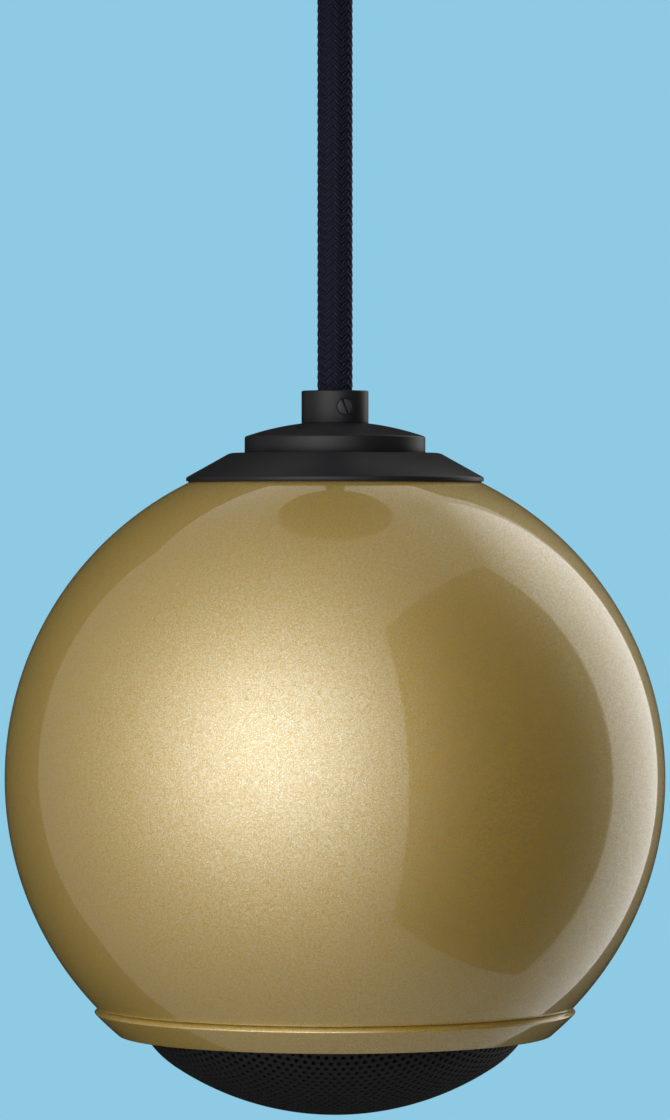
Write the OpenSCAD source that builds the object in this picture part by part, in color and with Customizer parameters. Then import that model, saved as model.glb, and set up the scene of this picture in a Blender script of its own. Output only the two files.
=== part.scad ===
// Round pendant speaker that hangs on a braided cord from a ceiling cup.
// Origin at the middle of the ceiling bracket's top face, +Z up, millimetres.

/* [Shell] */
// Outside diameter of the round shell
shell_d = 127; // [120:1:140]
// Sheet thickness of the shell
shell_wall = 1.2; // [0.8:0.1:2]
// Diameter of the mouth, at the middle of the sheet's rounded edge
mouth_d = 91.7; // [90:0.1:94]

/* [Front ring] */
// How far the front ring stands proud of the shell
ring_proud = 1.0; // [0.6:0.1:1.6]
// Height of the ring's round outer face
ring_face_h = 4.4; // [3.6:0.1:6]
// Open seam between the shell's edge and the ring's lip
seam_gap = 0.35; // [0.3:0.05:0.9]
// Rounding of the ring's lip and lower edge
ring_round = 0.5; // [0.2:0.05:0.8]
// Wall of the ring's spigot inside the mouth
spigot_wall = 2.2; // [1.6:0.1:3]
// Depth of the grille's seat below the middle of the mouth's edge
seat_drop = 1.4; // [1:0.1:2]
// How far the spigot's bead snaps past the mouth's edge
bead_bite = 0.2; // [0.1:0.05:0.4]
// Number of snap fingers that slits cut in the spigot
fingers = 8; // [4:2:16]

/* [Grille] */
// Widest diameter of the grille's dome
dome_d = 78.7; // [76:0.1:79]
// Depth of the dome below its widest level
dome_h = 25.0; // [22:0.1:30]
// Radius of the dome's rounded shoulder
shoulder_r = 18.6; // [14:0.1:20]
// Height of the dome's widest level above its seat
dome_rise = 4.9; // [4:0.1:6]
// Sheet thickness of the grille
grille_t = 0.8; // [0.5:0.1:1.2]
// Radius of a perforation
hole_r = 1.6; // [0.8:0.1:2]
// Distance between rings of perforations, along the dome
ring_step = 6.5; // [5:0.1:6.6]
// Distance between neighbours in a ring
hole_step = 6.7; // [6:0.1:9]
// Rings of perforations around the middle one
hole_rings = 6; // [2:1:6]

/* [Driver] */
// Outside radius of the cone's flat rim
cone_r = 27; // [25:0.5:28]
// Depth of the cone from rim to neck
cone_depth = 13.8; // [12:0.2:15]
// Thickness of the cone's paper
cone_t = 0.6; // [0.4:0.1:0.9]
// Outside radius of the surround's half roll
roll_r = 2.1; // [1.6:0.1:2.4]
// Thickness of the surround's rubber
roll_t = 0.5; // [0.3:0.1:0.7]
// Width of the surround's glued flanges
roll_flange = 2.0; // [1.5:0.1:2.2]
// Sheet thickness of the basket's flange
basket_t = 1.5; // [1:0.1:2]
// Sheet thickness of the basket's frame
frame_t = 1.2; // [0.9:0.1:1.6]
// Depth of the basket from its front face to its rear plate
basket_depth = 18.7; // [18:0.1:22]
// Outside radius of the basket's rear plate
rear_r = 21.5; // [20.5:0.1:22.5]
// Radius of the circle that the driver's screws stand on
screw_circle_r = 35.3; // [35.2:0.1:35.6]
// Thickness of the gasket behind the driver
gasket_t = 0.8; // [0.5:0.1:1.5]
// Thickness of the baffle ring welded into the mouth
baffle_t = 2.0; // [1.5:0.1:3]
// How far the cone travels each way
cone_travel = 2.5; // [2:0.1:3]

/* [Motor] */
// Radius of the pole piece
pole_r = 9.8; // [9:0.1:10.5]
// Running gap on each side of the voice coil
coil_gap = 0.4; // [0.3:0.05:0.6]
// Thickness of the coil's former
former_t = 0.25; // [0.2:0.05:0.35]
// Thickness of the coil's winding
winding_t = 0.4; // [0.3:0.05:0.6]
// Height of the coil's winding
winding_h = 6; // [5:0.5:8]
// Thickness of the magnetic front plate
front_plate_t = 4; // [3:0.5:5]
// Radius of the front plate and the yoke
plate_r = 24; // [23:0.5:25]
// Thickness of the ring magnet
magnet_t = 10; // [8:0.5:14]
// Outside radius of the ring magnet
magnet_r = 25.5; // [24:0.5:26]
// Thickness of the yoke's back plate
yoke_t = 4; // [3:0.5:6]
// Radius of the vent through the pole
vent_r = 2.5; // [1.5:0.5:4]

/* [Top cap] */
// Diameter of the cap's sloped base
cap_d = 57.3; // [52:0.1:62]
// Diameter of the flat land on top of the base
land_d = 40.4; // [38:0.1:44]
// Depth of the land below the top of the ball that the base sits on
land_drop = 1.33; // [0.8:0.01:2]
// Height of the base's upright rim
rim_h = 0.75; // [0.5:0.05:1.5]
// Diameter of the drum on the base
drum_d = 34.8; // [30:0.1:37]
// Height of the drum's upright side
drum_h = 3.15; // [2.5:0.05:4]
// Wall of the drum round the shell's crown
drum_wall = 1.4; // [1:0.1:2]
// Radius of the drum's domed top
drum_dome_r = 52.7; // [45:0.5:70]
// Thickness of the gasket between the base and the shell
cap_gasket_t = 0.4; // [0.2:0.1:0.8]

/* [Cord grips] */
// Diameter of the collar that grips the cord
collar_d = 12.9; // [12.2:0.1:15]
// Height of the collar
collar_h = 6.3; // [5:0.1:8]
// Diameter of the threaded tail
tail_d = 10; // [9.4:0.1:10.6]
// Radial clearance of the cord in the grip's bore
cord_clearance = 0.15; // [0.1:0.05:0.3]
// Radius of the grub screw
grub_r = 1.5; // [1.2:0.1:1.6]
// Radius of the rim around the grub screw
grub_rim_r = 1.75; // [1.7:0.05:1.9]
// Turn of the lower grub screw from the front, towards +X
grub_turn = 18; // [0:1:40]
// Lean of the grub screw's slot
slot_lean = 22; // [0:1:60]
// Thickness of the lock nuts
nut_h = 4; // [3:0.5:6]
// Width across flats of the lock nuts
nut_flats = 14; // [13:0.5:17]
// Outside radius of the washers under the nuts
washer_r = 9; // [8.5:0.5:11]
// Thickness of the washers under the nuts
washer_t = 1; // [0.8:0.1:1.6]
// Length of the crimped ferrules on the cord's ends
ferrule_h = 6; // [4:0.5:8]

/* [Cord] */
// Diameter of the braided cord
cord_d = 6.9; // [6:0.1:7.1]
// Depth of the shell's middle below the ceiling
hang_drop = 190; // [182:1:200]
// Radius of an insulated core
core_r = 1.0; // [0.8:0.1:1.2]

/* [Ceiling cup] */
// Outside diameter of the cup
cup_d = 76; // [74:1:90]
// Height of the cup
cup_h = 24; // [24:0.5:30]
// Sheet thickness of the cup
cup_wall = 1.2; // [0.8:0.1:2]
// Outside radius of the cup's lower edge
cup_round = 6; // [4:0.5:8]
// Width of the bracket
bracket_w = 20; // [18:1:24]
// Sheet thickness of the bracket
bracket_t = 1.5; // [1.2:0.1:2.5]
// Outside radius of the bracket's bends
bend_r = 3; // [2.5:0.25:4]
// Length of the bracket's bent tabs
tab_h = 12; // [11:0.5:15]
// Radius of the bracket's hole for the supply cable
cable_hole_r = 6; // [5:0.5:6.5]
// Distance between the two ceiling screws
ceiling_pitch = 56; // [55:1:58]
// Radius of the ceiling screw holes
ceiling_hole_r = 2.25; // [1.8:0.05:2.8]
// Radius of the cup's side screws
side_screw_r = 2; // [1.5:0.1:2.5]
// Depth of the side screws below the ceiling
side_screw_z = 7; // [6:0.5:8]

/* [Terminal block] */
// Length of the terminal block along the wires
block_l = 16; // [15:0.5:18]
// Width of the terminal block
block_w = 14; // [13.5:0.5:14.5]
// Height of the terminal block
block_h = 10; // [9:0.5:11]
// Distance of the block's middle from the cup's axis
block_x = 14; // [13.5:0.5:15]
// Distance between the two brass inserts
pole_pitch = 8; // [7.5:0.25:8.2]
// Radius of the brass inserts
insert_r = 2.2; // [2:0.1:2.4]
// Radius of the wire ways in the inserts
way_r = 1.5; // [1.3:0.1:1.7]
// Depth of each wire way
way_depth = 6.5; // [5:0.5:7]
// Radius of the block's fixing screw
block_screw_r = 0.75; // [0.6:0.05:0.9]

/* [Hidden] */
$fn = 96;
fine = 240;
TINY = 0.01;
weld_gap = 0.05;
slide_gap = 0.3;
screw_gap = 0.05;

// Shell, with heights counted from the middle of the ball
shell_r = shell_d / 2;
shell_in_r = shell_r - shell_wall;
sheet_r = shell_r - shell_wall / 2;
mouth_r = mouth_d / 2;
mouth_z = -sqrt(sheet_r * sheet_r - mouth_r * mouth_r);
mouth_polar = asin(mouth_r / sheet_r);

// Front ring and the stack that it clamps
ring_r = shell_r + ring_proud;
edge_polar = mouth_polar - asin(shell_wall / 2 / sheet_r);
lip_polar = edge_polar - asin(seam_gap / shell_r);
ring_bottom = -ring_r * cos(lip_polar) - ring_face_h;
spigot_r = mouth_r - shell_wall / 2 - slide_gap;
spigot_in_r = spigot_r - spigot_wall;
bead_r = 0.5;
bead_z = mouth_z + shell_wall / 2 + 0.15;
slit_w = 1.5;
seat_z = mouth_z - seat_drop;
flange_r = spigot_in_r - slide_gap;
basket_front = seat_z + grille_t;
basket_rear_face = basket_front + basket_t;
baffle_z = basket_rear_face + gasket_t;

// Grille: a crown arc that runs into a shoulder arc
dome_r = dome_d / 2;
dome_mid = seat_z + dome_rise;
dome_bottom = dome_mid - dome_h;
shoulder_x = dome_r - shoulder_r;
crown_r = (dome_r * dome_r + dome_h * dome_h - 2 * dome_r * shoulder_r)
    / (2 * (dome_h - shoulder_r));
crown_z = dome_bottom + crown_r;
crown_turn = atan2(shoulder_x, crown_z - dome_mid);
crown_run = crown_r * crown_turn * PI / 180;
bore_gap = 0.25;

// Driver
roll_mid_r = cone_r + roll_r - roll_t / 2;
surround_r = roll_mid_r + roll_r + roll_flange;
frame_in_r = roll_mid_r + roll_r - roll_t;
frame_r = frame_in_r + frame_t;
baffle_bore_r = frame_r + slide_gap;
rear_front = basket_front + basket_depth;
rear_back = rear_front + frame_t;
ledge_w = 3.3;
ledge_in_r = rear_r - frame_t - ledge_w;
window_w = 24;
window_h = 6.9;
window_rise = 2.2;
driver_screw_r = 1.25;
driver_head_r = 2.1;
driver_head_h = 1.4;

// Motor
former_in_r = pole_r + coil_gap;
former_r = former_in_r + former_t;
winding_r = former_r + winding_t;
gap_r = winding_r + coil_gap;
front_plate_top = rear_back + front_plate_t;
magnet_top = front_plate_top + magnet_t;
yoke_top = magnet_top + yoke_t;
gap_mid = rear_back + front_plate_t / 2;
magnet_in_r = gap_r + 2.2;

// Cone and spider
neck_r = former_r + weld_gap;
neck_z = basket_front + cone_depth;
neck_t = cone_t + 0.2;
rim_in_r = cone_r - roll_flange;
former_bottom = neck_z - 1;
spider_t = 0.4;
spider_waves = 3;
spider_wave_h = 0.7;
spider_room = 0.6;
spider_z = rear_front - cone_travel - spider_wave_h - spider_room;
spider_r = rear_r - frame_t - 1;
dust_cap_r = neck_r + 2.5;
dust_cap_h = 4;
dust_cap_t = 0.5;

// Top cap
seat_sphere_r = shell_r + cap_gasket_t;
cap_r = cap_d / 2;
rim_z = sqrt(seat_sphere_r * seat_sphere_r - cap_r * cap_r);
land_z = seat_sphere_r - land_drop;
crown_clear = seat_sphere_r + 0.4;
seal_w = 4;
drum_r = drum_d / 2;
drum_in_r = drum_r - drum_wall;
base_bore_r = drum_in_r - 0.5;
drum_top = land_z + drum_h;
collar_r = collar_d / 2;
collar_seat_r = collar_r + 0.15;
collar_z = drum_top + dome_drop(drum_r) - dome_drop(collar_seat_r);

// Cord grips
cord_r = cord_d / 2;
tail_r = tail_d / 2;
bore_r = cord_r + cord_clearance;
tail_hole_r = tail_r + 0.15;
washer_z = sqrt(shell_in_r * shell_in_r - washer_r * washer_r) - weld_gap;
nut_z = washer_z - washer_t - nut_h;
tail_show = 2;
tail_end = nut_z - tail_show;
cap_tail = collar_z - tail_end;
cup_tail = cup_wall + washer_t + nut_h + 1;
edge = 0.3;
grub_z = collar_h / 2;
grub_sink = 0.25;
slot_w = 0.5;

// Ceiling cup
cup_r = cup_d / 2;
cup_in_r = cup_r - cup_wall;
bracket_r = cup_in_r - slide_gap;
tab_x = sqrt(bracket_r * bracket_r - bracket_w * bracket_w / 4);
side_hole_r = side_screw_r + 0.2;
cup_floor = -cup_h + cup_wall;
tail_top = -cup_h + cup_tail;

// Terminal block, hung under the bracket
block_top = -bracket_t;
insert_z = block_top - block_h / 2;
clamp_r = 1.1;
clamp_y = block_l / 2 - way_depth / 2;
clamp_slot = 0.4;
insert_wall = 0.4;
rib_h = 1.5;

// Wadding
wadding_t = 6;
wadding_hole_r = 16;

// Terminals on the driver
tag_x = magnet_r + 2.5;
tag_y = 3.5;
tag_h = 7;
tag_w = 2.8;
tag_t = 0.8;
tag_dip = 2;
board_t = 1.2;
board_w = 2 * tag_y + 6;
board_in = plate_r + 0.5;
board_out = tag_x + 3;
tag_top = rear_back + board_t + tag_h;
tinsel_r = 0.4;
tinsel_x = 17;
tinsel_out_z = rear_front - 8.84;
tinsel_out_x = basket_x(tinsel_out_z) + 0.67;

// Route of the cord, from the ceiling cup down into the shell
cord_show = 2.6;
cord_low = tail_end - ferrule_h - cord_show - hang_drop;
cord_route = [
    [0, 0, -9], [0, 0, -18], [0, 0, -27], [0, 0, -36], [0, 0, -45], [0, 0, -54],
    [0, 0, -63], [0, 0, -72], [0, 0, -81], [0, 0, -90], [0, 0, -99], [0, 0, -108],
    [0, 0, -117], [0, 0, cord_low + 18], [0, 0, cord_low + 9], [0, 0, cord_low]
];
cord_top = cord_route[0][2];
cord_end = cord_route[len(cord_route) - 1][2] + hang_drop;

// Routes of the cord's two cores, chosen by hand between their ends
lead_route = [
    [0, 1.4, cord_end], [0, 1.4, cord_end - 1], [0, 1.4, cord_end - 2],
    [3, 2.4, cord_end - 6], [11, 4.5, cord_end - 12], [24, 6, cord_end - 20], [31, 6, 14],
    [33, 5, 0], [30, 4, tag_top + 8], [tag_x, tag_y, tag_top + 4],
    [tag_x, tag_y, tag_top + 2], [tag_x, tag_y, tag_top]
];
near_route = [
    [1.4, 0, cord_top], [1.4, 0, cord_top + 0.7], [1.4, 0, cord_top + 1.4], [2, -3, -5.2],
    [3.5, -9, -5.4], [6.5, -14.5, -6]
];
far_route = [
    [-1.4, 0, cord_top], [-1.4, 0, cord_top + 0.7], [-1.4, 0, cord_top + 1.4],
    [-2, -3, -5.2], [-1.5, -11, -5.4], [4, -18.5, -6], [12, -20, -6]
];
tinsel_route = [
    [tinsel_x, tag_y, cone_back_z(tinsel_x) + tinsel_r + weld_gap],
    [tinsel_x + 2, tag_y, tinsel_out_z - 0.4], [tinsel_out_x - 3.3, tag_y, tinsel_out_z - 0.8],
    [tinsel_out_x, tag_y, tinsel_out_z], [tag_x, tag_y, rear_front - tag_dip - 3],
    [tag_x, tag_y, rear_front - tag_dip - 1.5], [tag_x, tag_y, rear_front - tag_dip]
];

// Depth of the drum's round top below its highest point, at a radius
function dome_drop(r) = drum_dome_r - sqrt(drum_dome_r * drum_dome_r - r * r);

// Outside radius of the basket's sloped frame at a height
function basket_x(z) =
    frame_r + (z - basket_rear_face - 1) / (spider_z - basket_rear_face - 1) * (rear_r - frame_r);

// Height of the cone's back and front faces at a radius
function cone_back_z(r) =
    neck_z + (r - neck_r) / (rim_in_r - neck_r) * (basket_front + cone_t - neck_z);
function cone_front_z(r) =
    neck_z - neck_t + (r - neck_r) / (rim_in_r - neck_r) * (basket_front + neck_t - neck_z);

// A smooth line through points that keeps the ends' directions
function smooth_at(p, i, t) =
    let (
        a = i == 0 ? 2 * p[0] - p[1] : p[i - 1],
        b = p[i],
        c = p[i + 1],
        d = i + 2 < len(p) ? p[i + 2] : 2 * p[i + 1] - p[i]
    )
    0.5 * (2 * b + t * (c - a) + t * t * (2 * a - 5 * b + 4 * c - d)
        + t * t * t * (3 * b - a - 3 * c + d));
function smooth_line(p, parts) = concat(
    [for (i = [0:len(p) - 2], k = [0:parts - 1]) smooth_at(p, i, k / parts)],
    [p[len(p) - 1]]
);

function unit(v) = v / norm(v);
function across(a) = [-a[1], a[0]];

// Direction of a line at one of its points
function heading(line, i) = unit(line[min(i + 1, len(line) - 1)] - line[max(i - 1, 0)]);

// Sideways direction at a point, carried along the line without a twist
function sideways(line, i) =
    let (
        t = heading(line, i),
        before = i > 0 ? sideways(line, i - 1) : abs(t[0]) < 0.9 ? [1, 0, 0] : [0, 1, 0]
    )
    unit(before - (before * t) * t);

// A tube swept along a line
module tube(line, r, sides = 8) {
    count = len(line);
    points = [
        for (i = [0:count - 1])
            let (u = sideways(line, i), v = cross(heading(line, i), u))
            for (k = [0:sides - 1])
                line[i] + r * (cos(360 * k / sides) * u + sin(360 * k / sides) * v)
    ];
    walls = [
        for (i = [0:count - 2], k = [0:sides - 1], half = [0, 1])
            let (a = i * sides + k, b = i * sides + (k + 1) % sides)
            half == 0 ? [a, a + sides, b + sides] : [a, b + sides, b]
    ];
    first = [for (k = [0:sides - 1]) k];
    last = [for (k = [sides - 1:-1:0]) (count - 1) * sides + k];
    polyhedron(points, concat(walls, [first, last]));
}

// Moves a piece that is drawn round the ball's middle to where the ball hangs
module hung() { translate([0, 0, -hang_drop]) children(); }

// The half plane on the positive side of the axis, between two heights
module band(bottom, top, out = 200) {
    translate([0, bottom]) square([out, top - bottom]);
}

module ring_solid(outer, inner, bottom, top) {
    translate([0, 0, bottom]) difference() {
        cylinder(r = outer, h = top - bottom);
        translate([0, 0, -1]) cylinder(r = inner, h = top - bottom + 2);
    }
}

// Turns what points along +Z to point sideways, along -X or +X
module to_side(side) { rotate([0, side * 90, 0]) children(); }

// Ceiling cup

// Block with two rounded upper corners, drawn under the ceiling's line
module strap_outline(half, low, round_r) {
    translate([-half, low]) square([2 * half, -low - round_r]);
    translate([-half + round_r, low]) square([2 * (half - round_r), -low]);
    for (side = [-1, 1]) translate([side * (half - round_r), -round_r]) circle(r = round_r);
}

module ceiling_bracket() {
    color("silver") difference() {
        rotate([90, 0, 0]) translate([0, 0, -bracket_w / 2]) linear_extrude(bracket_w)
            difference() {
                strap_outline(tab_x, -tab_h, bend_r);
                translate([0, -bracket_t])
                    strap_outline(tab_x - bracket_t, -tab_h, bend_r - bracket_t);
            }
        translate([0, 0, -bracket_t - 1]) cylinder(r = cable_hole_r, h = bracket_t + 2);
        translate([block_x, 0, -bracket_t - 1])
            cylinder(r = block_screw_r + screw_gap, h = bracket_t + 2);
        for (side = [-1, 1]) {
            translate([side * ceiling_pitch / 2, 0, -bracket_t - 1])
                cylinder(r = ceiling_hole_r, h = bracket_t + 2);
            translate([0, 0, -side_screw_z]) to_side(side)
                cylinder(r = side_screw_r + screw_gap, h = cup_r);
        }
    }
}

// Half section of a round cup with a rounded lower edge
module cup_section(r, round_r, bottom, top) {
    translate([0, bottom + round_r]) square([r, top - bottom - round_r]);
    translate([0, bottom]) square([r - round_r, round_r]);
    translate([r - round_r, bottom + round_r]) circle(r = round_r);
}

module ceiling_cup() {
    color([0.07, 0.07, 0.07]) difference() {
        rotate_extrude() difference() {
            cup_section(cup_r, cup_round, -cup_h, 0);
            cup_section(cup_in_r, cup_round - cup_wall, cup_floor, 1);
        }
        translate([0, 0, -cup_h - 1]) cylinder(r = tail_hole_r, h = cup_wall + 2);
        for (side = [-1, 1]) translate([0, 0, -side_screw_z]) to_side(side)
            translate([0, 0, cup_r / 2]) cylinder(r = side_hole_r, h = cup_r);
    }
}

module cup_screws() {
    head_x = cup_r + screw_gap;
    tip_x = tab_x - bracket_t - 1;
    color([0.1, 0.1, 0.1]) for (side = [-1, 1]) translate([0, 0, -side_screw_z])
        to_side(side) difference() {
            union() {
                translate([0, 0, tip_x]) cylinder(r = side_screw_r, h = head_x - tip_x + TINY);
                translate([0, 0, head_x]) button_head(1.75 * side_screw_r, side_screw_r);
            }
            translate([-2 * side_screw_r, -slot_w, head_x + side_screw_r / 2])
                cube([4 * side_screw_r, 2 * slot_w, side_screw_r]);
        }
}

// Low round screw head that stands on its flat side
module button_head(r, h) {
    dome = (r * r + h * h) / (2 * h);
    rotate_extrude() intersection() {
        translate([0, h - dome]) circle(r = dome);
        band(0, h + 1, r + 1);
    }
}

// Cord grips

// Turned collar with a threaded tail; it stands on its collar's lower face at the origin
module grip(tail) {
    difference() {
        rotate_extrude() polygon([
            [bore_r, -tail], [tail_r - edge, -tail], [tail_r, -tail + edge], [tail_r, 0],
            [collar_r, 0], [collar_r, collar_h - edge], [collar_r - edge, collar_h],
            [bore_r + edge, collar_h], [bore_r, collar_h - edge]
        ]);
        translate([0, 0, grub_z]) rotate([90, 0, 0]) {
            cylinder(r = grub_r + screw_gap, h = collar_r + 1);
            translate([0, 0, collar_r - grub_sink]) cylinder(r = grub_rim_r, h = 1);
        }
    }
}

// Slotted grub screw that faces -Y, at the height of the grip's hole
module grub() {
    tip = cord_r + weld_gap;
    face = collar_r - grub_sink;
    translate([0, 0, grub_z]) rotate([90, 0, 0]) difference() {
        translate([0, 0, tip]) cylinder(r = grub_r, h = face - tip);
        rotate([0, 0, slot_lean]) translate([-slot_w / 2, -2 * grub_r, face - 0.9])
            cube([slot_w, 4 * grub_r, 1]);
    }
}

// Turns a grip so that its collar hangs below the cup's floor
module under_cup() { translate([0, 0, -cup_h]) rotate([180, 0, 0]) children(); }

// Thin hexagon nut that stands at a height
module nut(z) {
    difference() {
        translate([0, 0, z]) cylinder(r = nut_flats / 2 / cos(30), h = nut_h, $fn = 6);
        translate([0, 0, z - 1]) cylinder(r = tail_r + screw_gap, h = nut_h + 2);
    }
}

module ferrule(bottom) {
    ring_solid(tail_r, cord_r + weld_gap, bottom, bottom + ferrule_h);
}

module ceiling_grip() { color([0.06, 0.06, 0.06]) under_cup() grip(cup_tail); }
module ceiling_grub_screw() { color([0.12, 0.12, 0.12]) under_cup() grub(); }
module ceiling_washer() {
    color("silver") ring_solid(washer_r, tail_hole_r, cup_floor, cup_floor + washer_t);
}
module ceiling_nut() { color("silver") nut(cup_floor + washer_t); }
module ceiling_ferrule() { color("silver") ferrule(tail_top); }

module cord_grip() {
    color([0.06, 0.06, 0.06]) hung() translate([0, 0, collar_z])
        rotate([0, 0, grub_turn]) grip(cap_tail);
}
module grub_screw() {
    color([0.12, 0.12, 0.12]) hung() translate([0, 0, collar_z])
        rotate([0, 0, grub_turn]) grub();
}
module shell_washer() {
    color("silver") hung()
        ring_solid(washer_r, tail_hole_r, washer_z - washer_t, washer_z);
}
module shell_nut() { color("silver") hung() nut(nut_z); }
module cord_ferrule() { color("silver") hung() ferrule(tail_end - ferrule_h); }

// Cord

module cord() { color([0.08, 0.08, 0.11]) tube(cord_route, cord_r, 12); }

// Mirrors a route to the cord's other core
function other(route) = [for (p = route) [p[0], -p[1], p[2]]];

module lead_positive() {
    color("firebrick") hung() tube(smooth_line(lead_route, 3), core_r);
}
module lead_negative() {
    color("black") hung() tube(smooth_line(other(lead_route), 3), core_r);
}

// Core that runs on from a route into a wire way of the block
module tail(side, route) {
    way_x = block_x + side * pole_pitch / 2;
    end = [for (y = [5, 1, -2.5]) [way_x, -block_l / 2 - y, insert_z]];
    tube(smooth_line(concat(route, end), 3), core_r);
}
module tail_positive() { color("firebrick") tail(-1, near_route); }
module tail_negative() { color("black") tail(1, far_route); }

// Terminal block

module at_poles() {
    for (side = [-1, 1]) translate([block_x + side * pole_pitch / 2, 0, 0]) children();
}

module wire_ways(r, depth) {
    at_poles() for (end = [-1, 1]) translate([0, 0, insert_z]) rotate([end * 90, 0, 0])
        translate([0, 0, block_l / 2 - depth]) cylinder(r = r, h = depth + 1);
}

module clamp_holes(r, bottom) {
    at_poles() for (end = [-1, 1]) translate([0, end * clamp_y, bottom])
        cylinder(r = r, h = insert_z - bottom);
}

module terminal_block() {
    rib_w = 2 * (insert_r + insert_wall);
    color("ivory") difference() {
        union() {
            translate([block_x - block_w / 2, -block_l / 2, block_top - block_h + rib_h])
                cube([block_w, block_l, block_h - rib_h]);
            at_poles() translate([-rib_w / 2, -block_l / 2, block_top - block_h])
                cube([rib_w, block_l, block_h / 2]);
        }
        wire_ways(insert_r + screw_gap, block_l / 2 + TINY);
        clamp_holes(clamp_r + 0.3, block_top - block_h - 1);
        translate([block_x, 0, block_top - block_h - 1])
            cylinder(r = block_screw_r + screw_gap, h = block_h + 2);
    }
}

module terminal_inserts() {
    color("gold") difference() {
        at_poles() translate([0, block_l / 2, insert_z]) rotate([90, 0, 0])
            cylinder(r = insert_r, h = block_l);
        wire_ways(way_r, way_depth);
        clamp_holes(clamp_r + screw_gap, insert_z - insert_r - 1);
    }
}

// Clamp screws: those at the cord's end bite the cores, the free end's are backed out
module terminal_screws() {
    reach = block_h / 2 - 0.6;
    color("silver") at_poles() for (end = [-1, 1]) {
        tip = insert_z - (end < 0 ? core_r + 0.1 : way_r);
        head = insert_z - reach - (end < 0 ? 0 : 0.4);
        translate([0, end * clamp_y, head]) difference() {
            cylinder(r = clamp_r, h = tip - head);
            translate([-2 * clamp_r, -clamp_slot / 2, -1])
                cube([4 * clamp_r, clamp_slot, 1.5]);
        }
    }
}

// Screw that holds the block under the bracket, with its head between the ribs
module block_screw() {
    head_r = pole_pitch / 2 - insert_r - insert_wall - 0.15;
    head_h = 1;
    head_z = block_top - block_h + rib_h;
    color("silver") translate([block_x, 0, head_z - head_h]) difference() {
        union() {
            cylinder(r = head_r, h = head_h);
            cylinder(r = block_screw_r, h = head_h - head_z);
        }
        translate([-head_r, -clamp_slot / 2, -1]) cube([2 * head_r, clamp_slot, 1.5]);
    }
}

// Top cap

module cap_dome() {
    color([0.07, 0.07, 0.07]) hung() rotate_extrude() difference() {
        intersection() {
            translate([0, drum_top + dome_drop(drum_r) - drum_dome_r])
                circle(r = drum_dome_r, $fn = fine);
            translate([tail_hole_r, land_z])
                square([drum_r - tail_hole_r, collar_z - land_z]);
        }
        translate([0, land_z - 1]) square([drum_in_r, crown_clear - land_z + 1]);
    }
}

module cap_base() {
    soft = 0.3;
    color([0.07, 0.07, 0.07]) hung() rotate_extrude() difference() {
        polygon([
            [base_bore_r, rim_z - seal_w], [cap_r, rim_z - seal_w], [cap_r, rim_z + rim_h],
            [land_d / 2 + soft, land_z - soft / 2], [land_d / 2 - soft, land_z],
            [base_bore_r, land_z]
        ]);
        circle(r = seat_sphere_r, $fn = fine);
    }
}

module cap_gasket() {
    color([0.03, 0.03, 0.03]) hung() rotate_extrude() intersection() {
        difference() {
            circle(r = seat_sphere_r - weld_gap, $fn = fine);
            circle(r = shell_r + weld_gap, $fn = fine);
        }
        translate([cap_r - 0.4 - seal_w, 0]) square([seal_w, shell_r + 5]);
    }
}

// Shell

// The shell's sheet ends in a full round at the mouth
module shell_section() {
    difference() {
        intersection() {
            difference() {
                circle(r = shell_r, $fn = fine);
                circle(r = shell_in_r, $fn = fine);
            }
            band(-shell_d, shell_d);
        }
        polygon([
            [0, 0], [shell_d * sin(mouth_polar), -shell_d * cos(mouth_polar)], [0, -shell_d * 2]
        ]);
    }
    translate([mouth_r, mouth_z]) circle(r = shell_wall / 2);
}

module shell() {
    color([0.62, 0.52, 0.3]) hung() difference() {
        rotate_extrude() shell_section();
        translate([0, 0, shell_r / 2]) cylinder(r = tail_hole_r, h = shell_r);
    }
}

module wadding() {
    color("whitesmoke") hung() rotate_extrude() intersection() {
        difference() {
            circle(r = shell_in_r - slide_gap);
            circle(r = shell_in_r - slide_gap - wadding_t);
        }
        translate([wadding_hole_r, 0]) square([shell_r, shell_r]);
    }
}

module baffle_ring() {
    color("dimgray") hung() difference() {
        rotate_extrude() intersection() {
            circle(r = shell_in_r - weld_gap, $fn = fine);
            translate([baffle_bore_r, baffle_z]) square([shell_r, baffle_t]);
        }
        screw_places() translate([0, 0, baffle_z - 1])
            cylinder(r = driver_screw_r + screw_gap, h = baffle_t + 2);
    }
}

// Driver

module screw_places() {
    for (a = [45:90:315]) rotate([0, 0, a]) translate([screw_circle_r, 0, 0]) children();
}

module driver_gasket() {
    color([0.1, 0.1, 0.1]) hung() difference() {
        ring_solid(flange_r, baffle_bore_r, basket_rear_face, baffle_z);
        screw_places() translate([0, 0, basket_rear_face - 1])
            cylinder(r = driver_screw_r + 0.2, h = gasket_t + 2);
    }
}

module basket_section() {
    polygon([
        [frame_in_r, basket_front], [flange_r, basket_front], [flange_r, basket_rear_face],
        [frame_r, basket_rear_face], [frame_r, basket_rear_face + 1],
        [rear_r, spider_z], [rear_r, rear_back], [gap_r, rear_back],
        [gap_r, rear_front], [ledge_in_r, rear_front], [ledge_in_r, spider_z],
        [rear_r - frame_t, spider_z], [rear_r - frame_t, spider_z - 0.6],
        [frame_in_r, basket_rear_face + 0.5]
    ]);
}

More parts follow.
